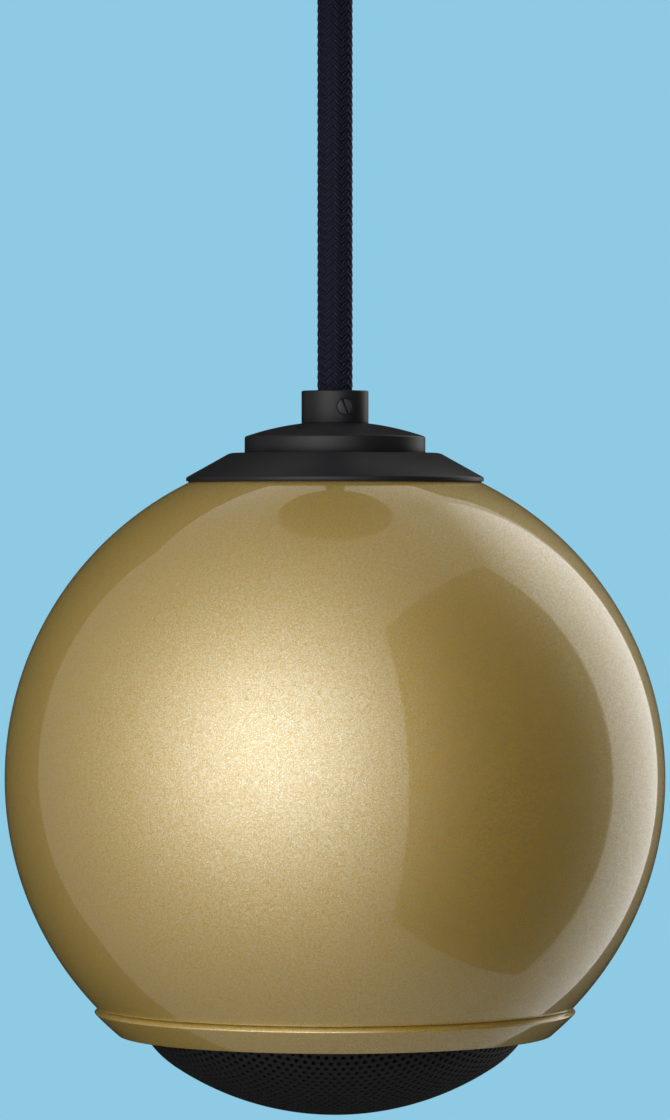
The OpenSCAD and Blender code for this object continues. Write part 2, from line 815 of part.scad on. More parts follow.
module driver_basket() {
    color([0.15, 0.15, 0.16]) hung() difference() {
        union() {
            rotate_extrude() basket_section();
            translate([ledge_in_r + 2, -board_w / 2, rear_front])
                cube([board_out - ledge_in_r - 2, board_w, frame_t]);
        }
        for (a = [0:90:270]) rotate([0, 0, a])
            translate([ledge_in_r + 1, 0, basket_rear_face + window_rise + window_h / 2])
                rotate([0, 90, 0]) slot_bar(window_w, window_h, frame_r);
        screw_places() translate([0, 0, basket_front - 1])
            cylinder(r = driver_screw_r + 0.2, h = basket_t + 2);
        tag_slots(rear_front - 1, frame_t + 2);
    }
}

// Bar with round ends: long across Y, thick along X, reaching along Z
module slot_bar(w, h, reach) {
    translate([-h / 2, -(w - h) / 2, 0]) cube([h, w - h, reach]);
    for (side = [-1, 1]) translate([0, side * (w - h) / 2, 0]) cylinder(r = h / 2, h = reach);
}

// Slots that the solder tags pass through
module tag_slots(bottom, h) {
    for (side = [-1, 1])
        translate([tag_x - tag_t / 2 - 0.3, side * tag_y - tag_w / 2 - 0.3, bottom])
            cube([tag_t + 0.6, tag_w + 0.6, h]);
}

module driver_screws() {
    shank = driver_head_h + basket_t + gasket_t + baffle_t;
    color("silver") hung() screw_places() translate([0, 0, basket_front - driver_head_h])
        difference() {
            union() {
                cylinder(r = driver_head_r, h = driver_head_h);
                cylinder(r = driver_screw_r, h = shank);
            }
            for (turn = [0, 90]) rotate([0, 0, turn])
                translate([-1.3, -0.25, -1]) cube([2.6, 0.5, 1.7]);
        }
}

module tag_board() {
    color("saddlebrown") hung() difference() {
        translate([board_in, -board_w / 2, rear_back])
            cube([board_out - board_in, board_w, board_t]);
        for (side = [-1, 1])
            translate([tag_x - tag_t / 2, side * tag_y - tag_w / 2, rear_back - 1])
                cube([tag_t, tag_w, board_t + 2]);
    }
}

module solder_tags() {
    color("gold") hung() for (side = [-1, 1])
        translate([tag_x - tag_t / 2, side * tag_y - tag_w / 2, rear_front - tag_dip])
            cube([tag_t, tag_w, tag_top - rear_front + tag_dip]);
}

module tinsel_leads() {
    color("peru") hung() {
        tube(smooth_line(tinsel_route, 3), tinsel_r);
        tube(smooth_line(other(tinsel_route), 3), tinsel_r);
    }
}

module front_plate() {
    color("silver") hung() ring_solid(plate_r, gap_r, rear_back, front_plate_top);
}

module magnet() {
    color([0.2, 0.2, 0.21]) hung()
        ring_solid(magnet_r, magnet_in_r, front_plate_top, magnet_top);
}

module yoke() {
    color("silver") hung() difference() {
        union() {
            translate([0, 0, magnet_top]) cylinder(r = plate_r, h = yoke_t);
            translate([0, 0, rear_back]) cylinder(r = pole_r, h = magnet_top - rear_back + 1);
        }
        translate([0, 0, rear_back - 1]) cylinder(r = vent_r, h = yoke_top - rear_back + 2);
    }
}

module coil_former() {
    color("tan") hung() ring_solid(
        former_r, former_in_r, former_bottom, gap_mid + winding_h / 2 + 0.5
    );
}

module voice_coil() {
    color("darkorange") hung() ring_solid(
        winding_r, former_r, gap_mid - winding_h / 2, gap_mid + winding_h / 2
    );
}

module cone() {
    color([0.16, 0.16, 0.17]) hung() rotate_extrude() polygon([
        [neck_r, neck_z], [rim_in_r, basket_front + cone_t], [cone_r, basket_front + cone_t],
        [cone_r, basket_front], [rim_in_r, basket_front], [neck_r, neck_z - neck_t]
    ]);
}

// Domed cap that is trimmed to the cone's slope
module dust_cap() {
    ball_r = (dust_cap_r * dust_cap_r + dust_cap_h * dust_cap_h) / (2 * dust_cap_h);
    edge_z = cone_front_z(dust_cap_r) - weld_gap;
    low = edge_z - dust_cap_h;
    color([0.12, 0.12, 0.13]) hung() rotate_extrude() intersection() {
        translate([0, low + ball_r]) difference() {
            circle(r = ball_r);
            circle(r = ball_r - dust_cap_t);
        }
        polygon([
            [0, low - 1], [dust_cap_r + 1, low - 1],
            [dust_cap_r + 1, cone_front_z(dust_cap_r + 1) - weld_gap],
            [neck_r, cone_front_z(neck_r) - weld_gap], [0, cone_front_z(neck_r) - weld_gap]
        ]);
    }
}

// Half roll of rubber between the cone's rim and the basket
module surround() {
    inner_w = roll_mid_r - roll_r + roll_t - rim_in_r;
    color([0.05, 0.05, 0.05]) hung() rotate_extrude() {
        intersection() {
            translate([roll_mid_r, basket_front]) difference() {
                circle(r = roll_r);
                circle(r = roll_r - roll_t);
            }
            band(basket_front - 2 * roll_r, basket_front);
        }
        translate([rim_in_r, basket_front - roll_t]) square([inner_w, roll_t]);
        translate([frame_in_r, basket_front - roll_t])
            square([surround_r - frame_in_r, roll_t]);
    }
}

// Corrugated cloth disc that centres the coil
module spider() {
    steps = 12 * spider_waves;
    run = ledge_in_r - slide_gap - neck_r;
    top = [
        for (i = [0:steps])
            let (s = i / steps)
            [neck_r + run * s, spider_z - spider_wave_h * sin(360 * spider_waves * s)]
    ];
    low = [for (i = [steps:-1:0]) top[i] - [0, spider_t]];
    color("khaki") hung() rotate_extrude() polygon(concat(
        top, [[spider_r, spider_z], [spider_r, spider_z - spider_t]], low
    ));
}

// Grille and front ring

// Half section of all that lies inside the dome, grown by an amount
module dome_area(grow = 0) {
    far = 2 * crown_r;
    intersection() {
        translate([0, crown_z]) circle(r = crown_r + grow, $fn = fine);
        polygon([
            [0, crown_z], [0, crown_z - far],
            [far * sin(crown_turn), crown_z - far * cos(crown_turn)]
        ]);
    }
    translate([shoulder_x, dome_mid]) circle(r = shoulder_r + grow);
}

// Radius, height and slope of the dome at a distance along it from its lowest point
function dome_spot(run) =
    run < crown_run
        ? let (a = run / crown_r * 180 / PI)
            [crown_r * sin(a), crown_z - crown_r * cos(a), a]
        : let (a = crown_turn + (run - crown_run) / shoulder_r * 180 / PI)
            [shoulder_x + shoulder_r * sin(a), dome_mid - shoulder_r * cos(a), a];

module perforation(spot, turn) {
    rotate([0, 0, turn]) translate([spot[0], 0, spot[1]]) rotate([0, -spot[2], 0])
        cylinder(r = hole_r, h = 4 * grille_t, center = true, $fn = 24);
}

module grille() {
    color([0.06, 0.06, 0.06]) hung() difference() {
        rotate_extrude() difference() {
            union() {
                intersection() {
                    dome_area();
                    band(dome_bottom - 1, basket_front);
                }
                translate([shoulder_x, seat_z]) square([flange_r - shoulder_x, grille_t]);
            }
            dome_area(-grille_t);
        }
        perforation(dome_spot(0), 0);
        for (ring = [1:hole_rings]) {
            spot = dome_spot(ring * ring_step);
            count = floor(2 * PI * spot[0] / hole_step);
            for (k = [0:count - 1]) perforation(spot, 360 * (k + ring / 2) / count);
        }
    }
}

// What rounding takes off a corner: all but a disc between two directions
module corner_cut(c, a, b) {
    reach = 3 * ring_round;
    difference() {
        polygon([c, c + reach * a, c + reach * (a + b), c + reach * b]);
        translate(c) circle(r = ring_round);
    }
}

// The ring's outer face and lip, with rounded edges
module ring_face() {
    core = ring_r - ring_round;
    low_c = [sqrt(core * core - pow(ring_bottom + ring_round, 2)), ring_bottom + ring_round];
    lip_turn = lip_polar - asin(ring_round / core);
    lip_c = core * [sin(lip_turn), -cos(lip_turn)];
    lip_line = [sin(lip_polar), -cos(lip_polar)];
    difference() {
        intersection() {
            circle(r = ring_r, $fn = fine);
            polygon([
                [shoulder_x, ring_bottom], [-ring_bottom * tan(lip_polar), ring_bottom],
                spigot_in_r / lip_line[0] * lip_line, [spigot_in_r, seat_z],
                [shoulder_x, seat_z]
            ]);
        }
        corner_cut(low_c, unit(low_c), [0, -1]);
        corner_cut(lip_c, unit(lip_c), across(lip_line));
    }
}

// The spigot that snaps into the shell's mouth
module spigot() {
    translate([spigot_in_r, seat_z - TINY])
        square([spigot_wall, baffle_z - slide_gap - seat_z]);
    translate([spigot_r + slide_gap + bead_bite - bead_r, bead_z]) circle(r = bead_r);
}

module front_ring() {
    color([0.62, 0.52, 0.3]) hung() difference() {
        rotate_extrude() difference() {
            union() {
                ring_face();
                spigot();
            }
            dome_area(bore_gap);
            translate([0, seat_z]) square([spigot_in_r, baffle_z - seat_z + 1]);
        }
        for (k = [0:fingers - 1]) rotate([0, 0, 360 * (k + 0.5) / fingers])
            translate([spigot_in_r - 1, -slit_w / 2, seat_z + 1])
                cube([spigot_wall + 3, slit_w, baffle_z - seat_z]);
    }
}

ceiling_bracket();
ceiling_cup();
cup_screws();
ceiling_grip();
ceiling_grub_screw();
ceiling_washer();
ceiling_nut();
ceiling_ferrule();
terminal_block();
terminal_inserts();
terminal_screws();
block_screw();
tail_positive();
tail_negative();
cord();
cord_grip();
grub_screw();
cap_dome();
cap_base();
cap_gasket();
shell();
shell_washer();
shell_nut();
cord_ferrule();
lead_positive();
lead_negative();
wadding();
baffle_ring();
driver_gasket();
driver_basket();
driver_screws();
tag_board();
solder_tags();
tinsel_leads();
front_plate();
magnet();
yoke();
coil_former();
voice_coil();
spider();
cone();
dust_cap();
surround();
grille();
front_ring();
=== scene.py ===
# %% [markdown]
# A round pendant speaker hangs on a braided cord. This lesson dresses its CAD
# model: every piece that shows is modelled again with a smooth skin, and every
# piece that doesn't keeps its CAD mesh and gets a real finish. The frame comes
# first, because all sizes and places are taken from it.

# %% Load the frame
import math

import bmesh
import bpy
import numpy as np
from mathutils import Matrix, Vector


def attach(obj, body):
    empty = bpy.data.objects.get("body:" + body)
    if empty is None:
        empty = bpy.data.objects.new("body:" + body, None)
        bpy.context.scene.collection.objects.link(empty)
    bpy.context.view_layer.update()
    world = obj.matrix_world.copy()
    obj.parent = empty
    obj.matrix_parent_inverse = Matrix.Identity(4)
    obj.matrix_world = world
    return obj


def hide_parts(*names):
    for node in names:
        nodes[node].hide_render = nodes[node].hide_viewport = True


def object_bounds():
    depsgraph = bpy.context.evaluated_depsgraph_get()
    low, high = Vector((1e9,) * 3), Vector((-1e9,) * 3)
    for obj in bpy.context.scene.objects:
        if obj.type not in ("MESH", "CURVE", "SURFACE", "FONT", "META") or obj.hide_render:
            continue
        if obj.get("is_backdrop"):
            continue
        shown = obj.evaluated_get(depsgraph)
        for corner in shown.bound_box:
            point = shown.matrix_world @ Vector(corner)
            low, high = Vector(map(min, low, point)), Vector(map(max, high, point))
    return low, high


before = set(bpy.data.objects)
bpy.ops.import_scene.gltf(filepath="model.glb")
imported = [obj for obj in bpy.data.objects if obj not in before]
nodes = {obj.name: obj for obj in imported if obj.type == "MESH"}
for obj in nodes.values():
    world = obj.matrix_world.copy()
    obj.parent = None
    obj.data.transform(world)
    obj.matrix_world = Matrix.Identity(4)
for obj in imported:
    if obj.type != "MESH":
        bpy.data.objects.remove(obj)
cad_box = [list(corner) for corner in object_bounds()]
MM = 0.001
BALL_Z = -190.0  # middle of the ball below the ceiling
print("CAD box in mm:", [[round(c / MM, 2) for c in corner] for corner in cad_box])

# %% [markdown]
# The camera stands where the photographer's did: level with the top of the
# ball, a good metre away, with a long lens, so that the round shapes are
# hardly stretched.

# %% Camera
EYE = (0, -1.0855, -0.1418)
AIM_Z = -0.148

bpy.ops.object.select_all(action="DESELECT")
pitch = math.atan2(AIM_Z - EYE[2], -EYE[1])
bpy.ops.object.camera_add(location=EYE, rotation=(math.radians(90) + pitch, 0, 0))
camera = bpy.context.object
camera.data.lens = 181.3
camera.data.sensor_width = 36
bpy.context.scene.camera = camera
bpy.context.scene.view_settings.view_transform = "Standard"
print("camera pitch", round(math.degrees(pitch), 3), "degrees")

# %% [markdown]
# A material is a small tree of nodes. Three helpers are all it takes: one turns
# a colour as a screen shows it into the linear values that light works with,
# one starts a material with settings on its shader, and one adds a node.

# %% Colour, material and node helpers


def rgb(code):
    """Linear colour of an sRGB hex value such as 'C8A24F'."""
    parts = [int(code[i:i + 2], 16) / 255 for i in (0, 2, 4)]
    linear = [c / 12.92 if c <= 0.04045 else ((c + 0.055) / 1.055) ** 2.4 for c in parts]
    return (*linear, 1.0)


def add_node(tree, kind, inputs=None, **settings):
    """Adds a node; an input is either a value or the socket it is linked to."""
    node = tree.nodes.new(kind)
    for name, value in settings.items():
        setattr(node, name, value)
    for name, value in (inputs or {}).items():
        if isinstance(value, bpy.types.NodeSocket):
            tree.links.new(value, node.inputs[name])
        else:
            node.inputs[name].default_value = value
    return node


def start_material(name, **sockets):
    """A new material, its node tree and its shader, with the shader's own values set."""
    material = bpy.data.materials.new(name)
    material.use_nodes = True
    shader = material.node_tree.nodes["Principled BSDF"]
    for socket, value in sockets.items():
        shader.inputs[socket.replace("_", " ")].default_value = value
    return material, material.node_tree, shader


def grained(name, colour, roughness, metallic, grain_mm, depth_mm, **sockets):
    """A plain finish with a fine grain in its surface; returns the noise for more use."""
    material, tree, shader = start_material(
        name, Base_Color=rgb(colour), Roughness=roughness, Metallic=metallic, **sockets)
    place = add_node(tree, "ShaderNodeTexCoord").outputs["Object"]
    noise = add_node(tree, "ShaderNodeTexNoise",
                     {"Vector": place, "Scale": 1 / (grain_mm * MM), "Detail": 3.0})
    bump = add_node(tree, "ShaderNodeBump",
                    {"Height": noise.outputs[0], "Distance": depth_mm * MM, "Strength": 1.0})
    tree.links.new(bump.outputs[0], shader.inputs["Normal"])
    return material, tree, shader, place, noise


def blend_colours(tree, factor, dark, light):
    """A colour between two hex colours, by a factor socket."""
    mix = add_node(tree, "ShaderNodeMix", {0: factor, 6: rgb(dark), 7: rgb(light)},
                   data_type="RGBA")
    return mix.outputs[2]

# %% [markdown]
# The cord is a round textile cable: a rubber core inside a sleeve of 24 braided
# strands, twelve that climb to the right and twelve to the left. Each passes
# over two and under two, which gives the herringbone. A braid can't be drawn
# by hand in edit mode, so its strands are worked out: a strand climbs 1.64 mm
# for each twelfth of a turn, and rises and dips by a tenth of a millimetre.

# %% Braided cord
CORD_TOP, CORD_LOW = -9.0, -144.004
STRANDS = 12
CLIMB = 1.636
STEPS_A_CROSSING = 3
STRAND_SECTION = [(-0.64, -0.08), (-0.44, 0.12), (0, 0.2), (0.44, 0.12), (0.64, -0.08)]
MIDDLE_R, LIFT = 3.09, 0.13


def strand_points(number, way):
    """Rows of points along one strand, and how far along the braid each row is."""
    crossings = int(2 * (CORD_TOP - CORD_LOW) / CLIMB)
    lean = math.atan2(2 * math.pi * MIDDLE_R / STRANDS, CLIMB)
    rows = []
    for step in range(crossings * STEPS_A_CROSSING + 1):
        rise = step / (2 * STEPS_A_CROSSING)
        angle = 2 * math.pi / STRANDS * (number + way * rise)
        wave = math.cos((2 * number + way * 2 * rise - 0.5) * math.pi / 2)
        r = MIDDLE_R + LIFT * way * max(-1, min(1, 1.35 * wave))
        out = np.array([math.cos(angle), math.sin(angle), 0])
        along = np.array([-out[1] * math.sin(lean) * way, out[0] * math.sin(lean) * way,
                          math.cos(lean)])
        side = np.cross(along, out)
        centre = out * r + np.array([0, 0, CORD_LOW + rise * CLIMB])
        rows.append([(centre + side * x + out * y) * MM for x, y in STRAND_SECTION])
    return rows


def make_braid():
    """One mesh of all strands, with each strand's own map of across and along."""
    points, faces, across = [], [], []
    width = len(STRAND_SECTION)
    for way in (1, -1):
        for number in range(STRANDS):
            rows = strand_points(number, way)
            for row, line in enumerate(rows):
                start = len(points)
                points.extend(line)
                if row:
                    for k in range(width):
                        a, b = start + k, start + (k + 1) % width
                        faces.append((a, b, b - width, a - width))
                        u = (k / (width - 1), (k + 1) / (width - 1)) if k + 1 < width else (0, 0)
                        v = (row / 6, (row - 1) / 6)
                        across.extend([(u[0], v[0]), (u[1], v[0]), (u[1], v[1]), (u[0], v[1])])
                if row in (0, len(rows) - 1):
                    faces.append(tuple(start + k for k in range(width)))
                    across.extend([(0, 0)] * width)
    mesh = bpy.data.meshes.new("braided_cord")
    mesh.from_pydata([tuple(p) for p in points], [], faces)
    mesh.uv_layers.new(name="strand_map")
    mesh.uv_layers["strand_map"].uv.foreach_set(
        "vector", np.array(across, dtype=np.float32).ravel())
    return mesh


cord = bpy.data.objects.new("braided_cord", make_braid())
bpy.context.collection.objects.link(cord)
bpy.ops.object.select_all(action="DESELECT")
bpy.ops.mesh.primitive_cylinder_add(
    vertices=24, radius=3.0 * MM, depth=(CORD_TOP - CORD_LOW) * MM,
    location=(0, 0, (CORD_TOP + CORD_LOW) / 2 * MM))
cord.select_set(True)
bpy.context.view_layer.objects.active = cord
bpy.ops.object.join()
bpy.ops.object.mode_set(mode="EDIT")
bpy.ops.mesh.select_all(action="SELECT")
bpy.ops.mesh.normals_make_consistent(inside=False)
bpy.ops.object.mode_set(mode="OBJECT")
bpy.ops.object.shade_smooth()
print("braid:", len(cord.data.polygons), "faces")

# %% [markdown]
# The yarn is dyed polyester, nearly black with some blue in it. Filaments make
# it dull along its length and give it a faint sheen at grazing angles. Each
# strand holds three yarns side by side, which the strand's own map places. Their
# colour is painted near black in the gaps between yarns, as painted shade, and
# a lighter blue on their crowns, the dye's blue raised to a painted highlight.

# %% Braided yarn material
yarn, tree, shader = start_material(
    "dyed_polyester_yarn", Roughness=0.6, Specular_IOR_Level=0.1, Sheen_Weight=0.26,
    Sheen_Roughness=0.3, Sheen_Tint=rgb("8E96B4"))
strand_map = add_node(tree, "ShaderNodeUVMap", uv_map="strand_map").outputs[0]
# three yarns across a strand
yarn_wave = add_node(
    tree, "ShaderNodeTexWave",
    {"Vector": strand_map, "Scale": 3 * math.tau / 20, "Distortion": 0.4, "Detail": 1.0},
    bands_direction="X")
place = add_node(tree, "ShaderNodeTexCoord").outputs["Object"]
# filaments are 0.02 mm; drawn at 0.15 mm so that they show
filaments = add_node(tree, "ShaderNodeTexNoise", {"Vector": place, "Scale": 1 / (0.15 * MM)})
# painted shade: near black in the gaps between yarns; painted highlight: lighter blue on their
# crowns
dye_with_painted_gap_shade_and_highlight = blend_colours(tree, yarn_wave.outputs[1], "010103", "20233A")
mixed = add_node(tree, "ShaderNodeMix",
                 {0: filaments.outputs[0], 6: dye_with_painted_gap_shade_and_highlight, 7: rgb("08090F")},
                 data_type="RGBA")
tree.links.new(mixed.outputs[2], shader.inputs["Base Color"])
relief = add_node(tree, "ShaderNodeMath", {0: yarn_wave.outputs[1], 1: filaments.outputs[0]},
                  operation="ADD")
bump = add_node(tree, "ShaderNodeBump",
                {"Height": relief.outputs[0], "Distance": 0.06 * MM, "Strength": 1.0})
tree.links.new(bump.outputs[0], shader.inputs["Normal"])
cord.data.materials.clear()
cord.data.materials.append(yarn)
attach(cord, "root")
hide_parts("cord")

# %% [markdown]
# Most pieces of this lamp-like speaker are turned or spun, so they are drawn
# as half an outline and swept round the axis, as a lathe does it. The pen
# starts as one vertex, and each move extrudes or spins it to the next place.

# %% Outline and lathe helpers


def draw(start, *moves):
    """Draws half an outline in the XZ plane, in mm, and leaves it in edit mode.
    A move (x, z) is a straight run; (x, z, degrees, steps) is an arc round that middle."""
    bpy.ops.object.select_all(action="DESELECT")
    bpy.ops.mesh.primitive_plane_add(size=MM, enter_editmode=True)
    bpy.ops.mesh.select_mode(type="VERT")
    bpy.ops.mesh.merge(type="CENTER")
    bpy.ops.transform.translate(value=(start[0] * MM, 0, start[1] * MM))
    x, z = start
    for move in moves:
        if len(move) == 2:
            bpy.ops.mesh.extrude_region_move(TRANSFORM_OT_translate={
                "value": ((move[0] - x) * MM, 0, (move[1] - z) * MM)})
            x, z = move
            continue
        cx, cz, degrees, steps = move
        turn = math.radians(degrees)
        bpy.ops.mesh.spin(steps=steps, angle=turn, center=(cx * MM, 0, cz * MM),
                          axis=(0, 1, 0))
        dx, dz = x - cx, z - cz
        x = cx + dx * math.cos(turn) - dz * math.sin(turn)
        z = cz + dx * math.sin(turn) + dz * math.cos(turn)


def lathe(steps):
    """Turns the drawn outline into a closed solid round the Z axis."""
    bpy.ops.mesh.select_all(action="SELECT")
    bpy.ops.mesh.remove_doubles(threshold=1e-7)
    bpy.ops.mesh.select_all(action="SELECT")
    bpy.ops.mesh.spin(steps=steps, angle=math.tau, center=(0, 0, 0), axis=(0, 0, 1))
    bpy.ops.mesh.select_all(action="SELECT")
    bpy.ops.mesh.remove_doubles(threshold=1e-6)
    bpy.ops.mesh.normals_make_consistent(inside=False)


def select_edges(test):
    """Selects the edges of the piece in edit mode whose two ends both pass the test."""
    bpy.ops.mesh.select_mode(type="EDGE")
    bpy.ops.mesh.select_all(action="DESELECT")
    mesh = bmesh.from_edit_mesh(bpy.context.object.data)
    for edge in mesh.edges:
        edge.select_set(all(test(vert.co / MM) for vert in edge.verts))
    bmesh.update_edit_mesh(bpy.context.object.data)


def soften(r, z, width, steps=3):
    """Rounds the sharp ring of edges at a radius and a height, in mm."""
    select_edges(lambda p: abs(math.hypot(p.x, p.y) - r) < 0.02 and abs(p.z - z) < 0.02)
    bpy.ops.mesh.bevel(offset=width * MM, segments=steps, affect="EDGES")


def settle(name, low=0.0):
    """Ends a piece: named, moved by a height in mm, and its place written into its mesh."""
    if bpy.context.object.mode == "EDIT":
        bpy.ops.object.mode_set(mode="OBJECT")
    piece = bpy.context.object
    piece.name = piece.data.name = name
    piece.location.z += low * MM
    bpy.ops.object.transform_apply(location=True, rotation=True, scale=True)
    bpy.ops.object.shade_smooth_by_angle(angle=math.radians(30))
    return piece


def stand_for(piece, material, slot, *replaced):
    """Gives a finished piece its material and its body, and hides the CAD nodes it stands for.
    """
    piece.data.materials.clear()
    piece.data.materials.append(material)
    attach(piece, "root")
    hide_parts(*replaced)
    print(piece.name, len(piece.data.polygons), "faces")


def apply_modifier(piece, kind, **settings):
    """Adds a modifier with its settings and applies it at once."""
    modifier = piece.modifiers.new(kind.lower(), kind)
    for name, value in settings.items():
        setattr(modifier, name, value)
    bpy.context.view_layer.objects.active = piece
    bpy.ops.object.modifier_apply(modifier=modifier.name)


def cut(piece, cutter):
    """Takes the cutter's shape out of the piece and throws the cutter away."""
    apply_modifier(piece, "BOOLEAN", operation="DIFFERENCE", solver="EXACT", object=cutter)
    bpy.data.objects.remove(cutter)
    bpy.ops.object.select_all(action="DESELECT")
    piece.select_set(True)

# %% [markdown]
# The gold finish is a car-type paint in two coats. The first holds fine metal
# flakes: three in ten lie flat and shine nearly white, the others stand askew
# and show the gold pigment in a wide, soft glow. The second is a thick clear
# gloss coat, which gives the sharp reflections on top. The flakes are drawn at
# 0.06 mm, near their real size, so they blend to a faint grain from afar.

# %% Gold flake paint


def gold_paint(name):
    material, tree, shader = start_material(
        name, Metallic=1.0, Coat_Weight=1.0, Coat_Roughness=0.02, Coat_IOR=1.7)
    place = add_node(tree, "ShaderNodeTexCoord").outputs["Object"]
    flakes = add_node(tree, "ShaderNodeTexVoronoi",
                      {"Vector": place, "Scale": 1 / (0.06 * MM)}).outputs["Color"]
    chance = add_node(tree, "ShaderNodeSeparateColor", {0: flakes}).outputs[0]
    flat = add_node(tree, "ShaderNodeMapRange",
                    {"Value": chance, "From Min": 0.6, "From Max": 0.8})
    colour = blend_colours(tree, flat.outputs[0], "CCAC44", "DCDAC1")
    tree.links.new(colour, shader.inputs["Base Color"])
    rough = add_node(tree, "ShaderNodeMapRange",
                     {"Value": flat.outputs[0], "To Min": 0.8, "To Max": 0.42})
    tree.links.new(rough.outputs[0], shader.inputs["Roughness"])
    # a flake leans by a few degrees at most
    lean = add_node(tree, "ShaderNodeVectorMath", {0: flakes, 1: (0.5, 0.5, 0.5)},
                    operation="SUBTRACT")
    small = add_node(tree, "ShaderNodeVectorMath", {0: lean.outputs[0], "Scale": 0.08},
                     operation="SCALE")
    surface = add_node(tree, "ShaderNodeNewGeometry").outputs["Normal"]
    tilted = add_node(tree, "ShaderNodeVectorMath", {0: surface, 1: small.outputs[0]},
                      operation="ADD")
    unit = add_node(tree, "ShaderNodeVectorMath", {0: tilted.outputs[0]},
                    operation="NORMALIZE")
    tree.links.new(unit.outputs[0], shader.inputs["Normal"])
    return material


shell_paint = gold_paint("gold_flake_paint_on_steel")
ring_paint = gold_paint("gold_flake_paint_on_aluminium")
print("paints:", shell_paint.name, ring_paint.name)

# %% [markdown]
# The cabinet is a ball of sheet steel, spun on a lathe, welded and sanded
# until no seam is left. A fine UV sphere is its outer skin; a cut at the top
# makes the bore for the cord grip, one below makes the mouth, and Solidify
# gives the sheet its 1.2 mm. The mouth's edge is then rounded over.

# %% Shell
SHELL_R, WALL = 63.5, 1.2
BORE_R, MOUTH_POLAR = 5.15, math.radians(46.25)

bpy.ops.object.select_all(action="DESELECT")
bpy.ops.mesh.primitive_uv_sphere_add(
    segments=256, ring_count=128, radius=SHELL_R * MM, enter_editmode=True)
for height, side in ((math.sqrt(SHELL_R ** 2 - BORE_R ** 2), 1),
                     (-SHELL_R * math.cos(MOUTH_POLAR), -1)):
    bpy.ops.mesh.select_all(action="SELECT")
    bpy.ops.mesh.bisect(plane_co=(0, 0, height * MM), plane_no=(0, 0, side),
                        clear_outer=True)
bpy.ops.object.mode_set(mode="OBJECT")
shell = bpy.context.object
apply_modifier(shell, "SOLIDIFY", thickness=WALL * MM, offset=-1.0)
bpy.ops.object.mode_set(mode="EDIT")
for r in (SHELL_R, SHELL_R - WALL):
    soften(r * math.sin(MOUTH_POLAR), -r * math.cos(MOUTH_POLAR), 0.59, 5)
stand_for(settle("gold_shell", BALL_Z), shell_paint, "gold_paint", "shell")

# %% [markdown]
# The front ring is turned from aluminium. It stands 1 mm proud of the ball,
# with a narrow open seam above its lip, and its spigot snaps into the mouth
# with a thin bead, on fingers that saw cuts leave springy.

# %% Front ring
draw((42.75, -44.46), (42.75, -41.66), (44.95, -41.66), (44.95, -41.81),
     (44.95, -42.31, -180, 12), (44.95, -43.50), (46.161, -44.687),
     (45.987, -44.866, -90.4, 10), (0, 0, -5.335, 12), (41.45, -48.76, -40.4, 8),
     (36.93, -49.26), (20.75, -39.56, 15.9, 12), (42.75, -44.46))
lathe(256)
bpy.ops.object.mode_set(mode="OBJECT")
ring = bpy.context.object
for k in range(4):
    bpy.ops.mesh.primitive_cube_add(size=MM, rotation=(0, 0, math.radians(22.5 + 45 * k)),
                                    location=(0, 0, -41.46 * MM), scale=(110, 1.5, 4))
    saw = bpy.context.object
    cut(ring, saw)
stand_for(settle("front_ring_gold", BALL_Z), ring_paint, "gold_paint_ring", "front_ring")

# %% [markdown]
# The grille is a round steel blank, punched with some two thousand fine holes
# in staggered rows and then pressed into a dome. It is made the same way here.
# One hexagonal cell with a round hole is modelled; two Array modifiers lay the
# cells out as a flat sheet; a plain border is bridged on; and the sheet is
# pressed, by giving each point the place on the dome that lies as far from the
# middle as it did on the flat blank. Only then does the sheet get its wall.

# %% Grille: one cell, laid out flat
PITCH, HOLE_R = 1.75, 0.5
CELLS = 57
PUNCHED_R = 43.4

bpy.ops.object.select_all(action="DESELECT")
bpy.ops.mesh.primitive_circle_add(vertices=12, radius=HOLE_R * MM, enter_editmode=True)
bpy.ops.mesh.extrude_region_move()
bpy.ops.transform.resize(value=(PITCH / 2 / HOLE_R,) * 3, center_override=(0, 0, 0))
bpy.ops.mesh.select_mode(type="VERT")
cell = bmesh.from_edit_mesh(bpy.context.object.data)
for vert in cell.verts:
    twelfth = round(math.degrees(math.atan2(vert.co.y, vert.co.x)) / 30)
    vert.select_set(twelfth % 2 == 1 and vert.co.length > 0.6 * PITCH / 2 * MM + 1e-6)
bpy.ops.transform.resize(value=(2 / math.sqrt(3),) * 3, center_override=(0, 0, 0))
bpy.ops.object.mode_set(mode="OBJECT")
grille = bpy.context.object
row_step = (PITCH / 2 * MM, PITCH * math.sqrt(3) / 2 * MM, 0)
for step in ((PITCH * MM, 0, 0), row_step):
    apply_modifier(grille, "ARRAY", count=CELLS, use_relative_offset=False,
                   use_constant_offset=True, constant_offset_displace=step,
                   use_merge_vertices=True, merge_threshold=1e-5)
middle = (CELLS - 1) / 2
grille.location = (-middle * 1.5 * PITCH * MM, -middle * row_step[1], 0)
bpy.ops.object.transform_apply(location=True)
print("sheet:", len(grille.data.polygons), "faces")

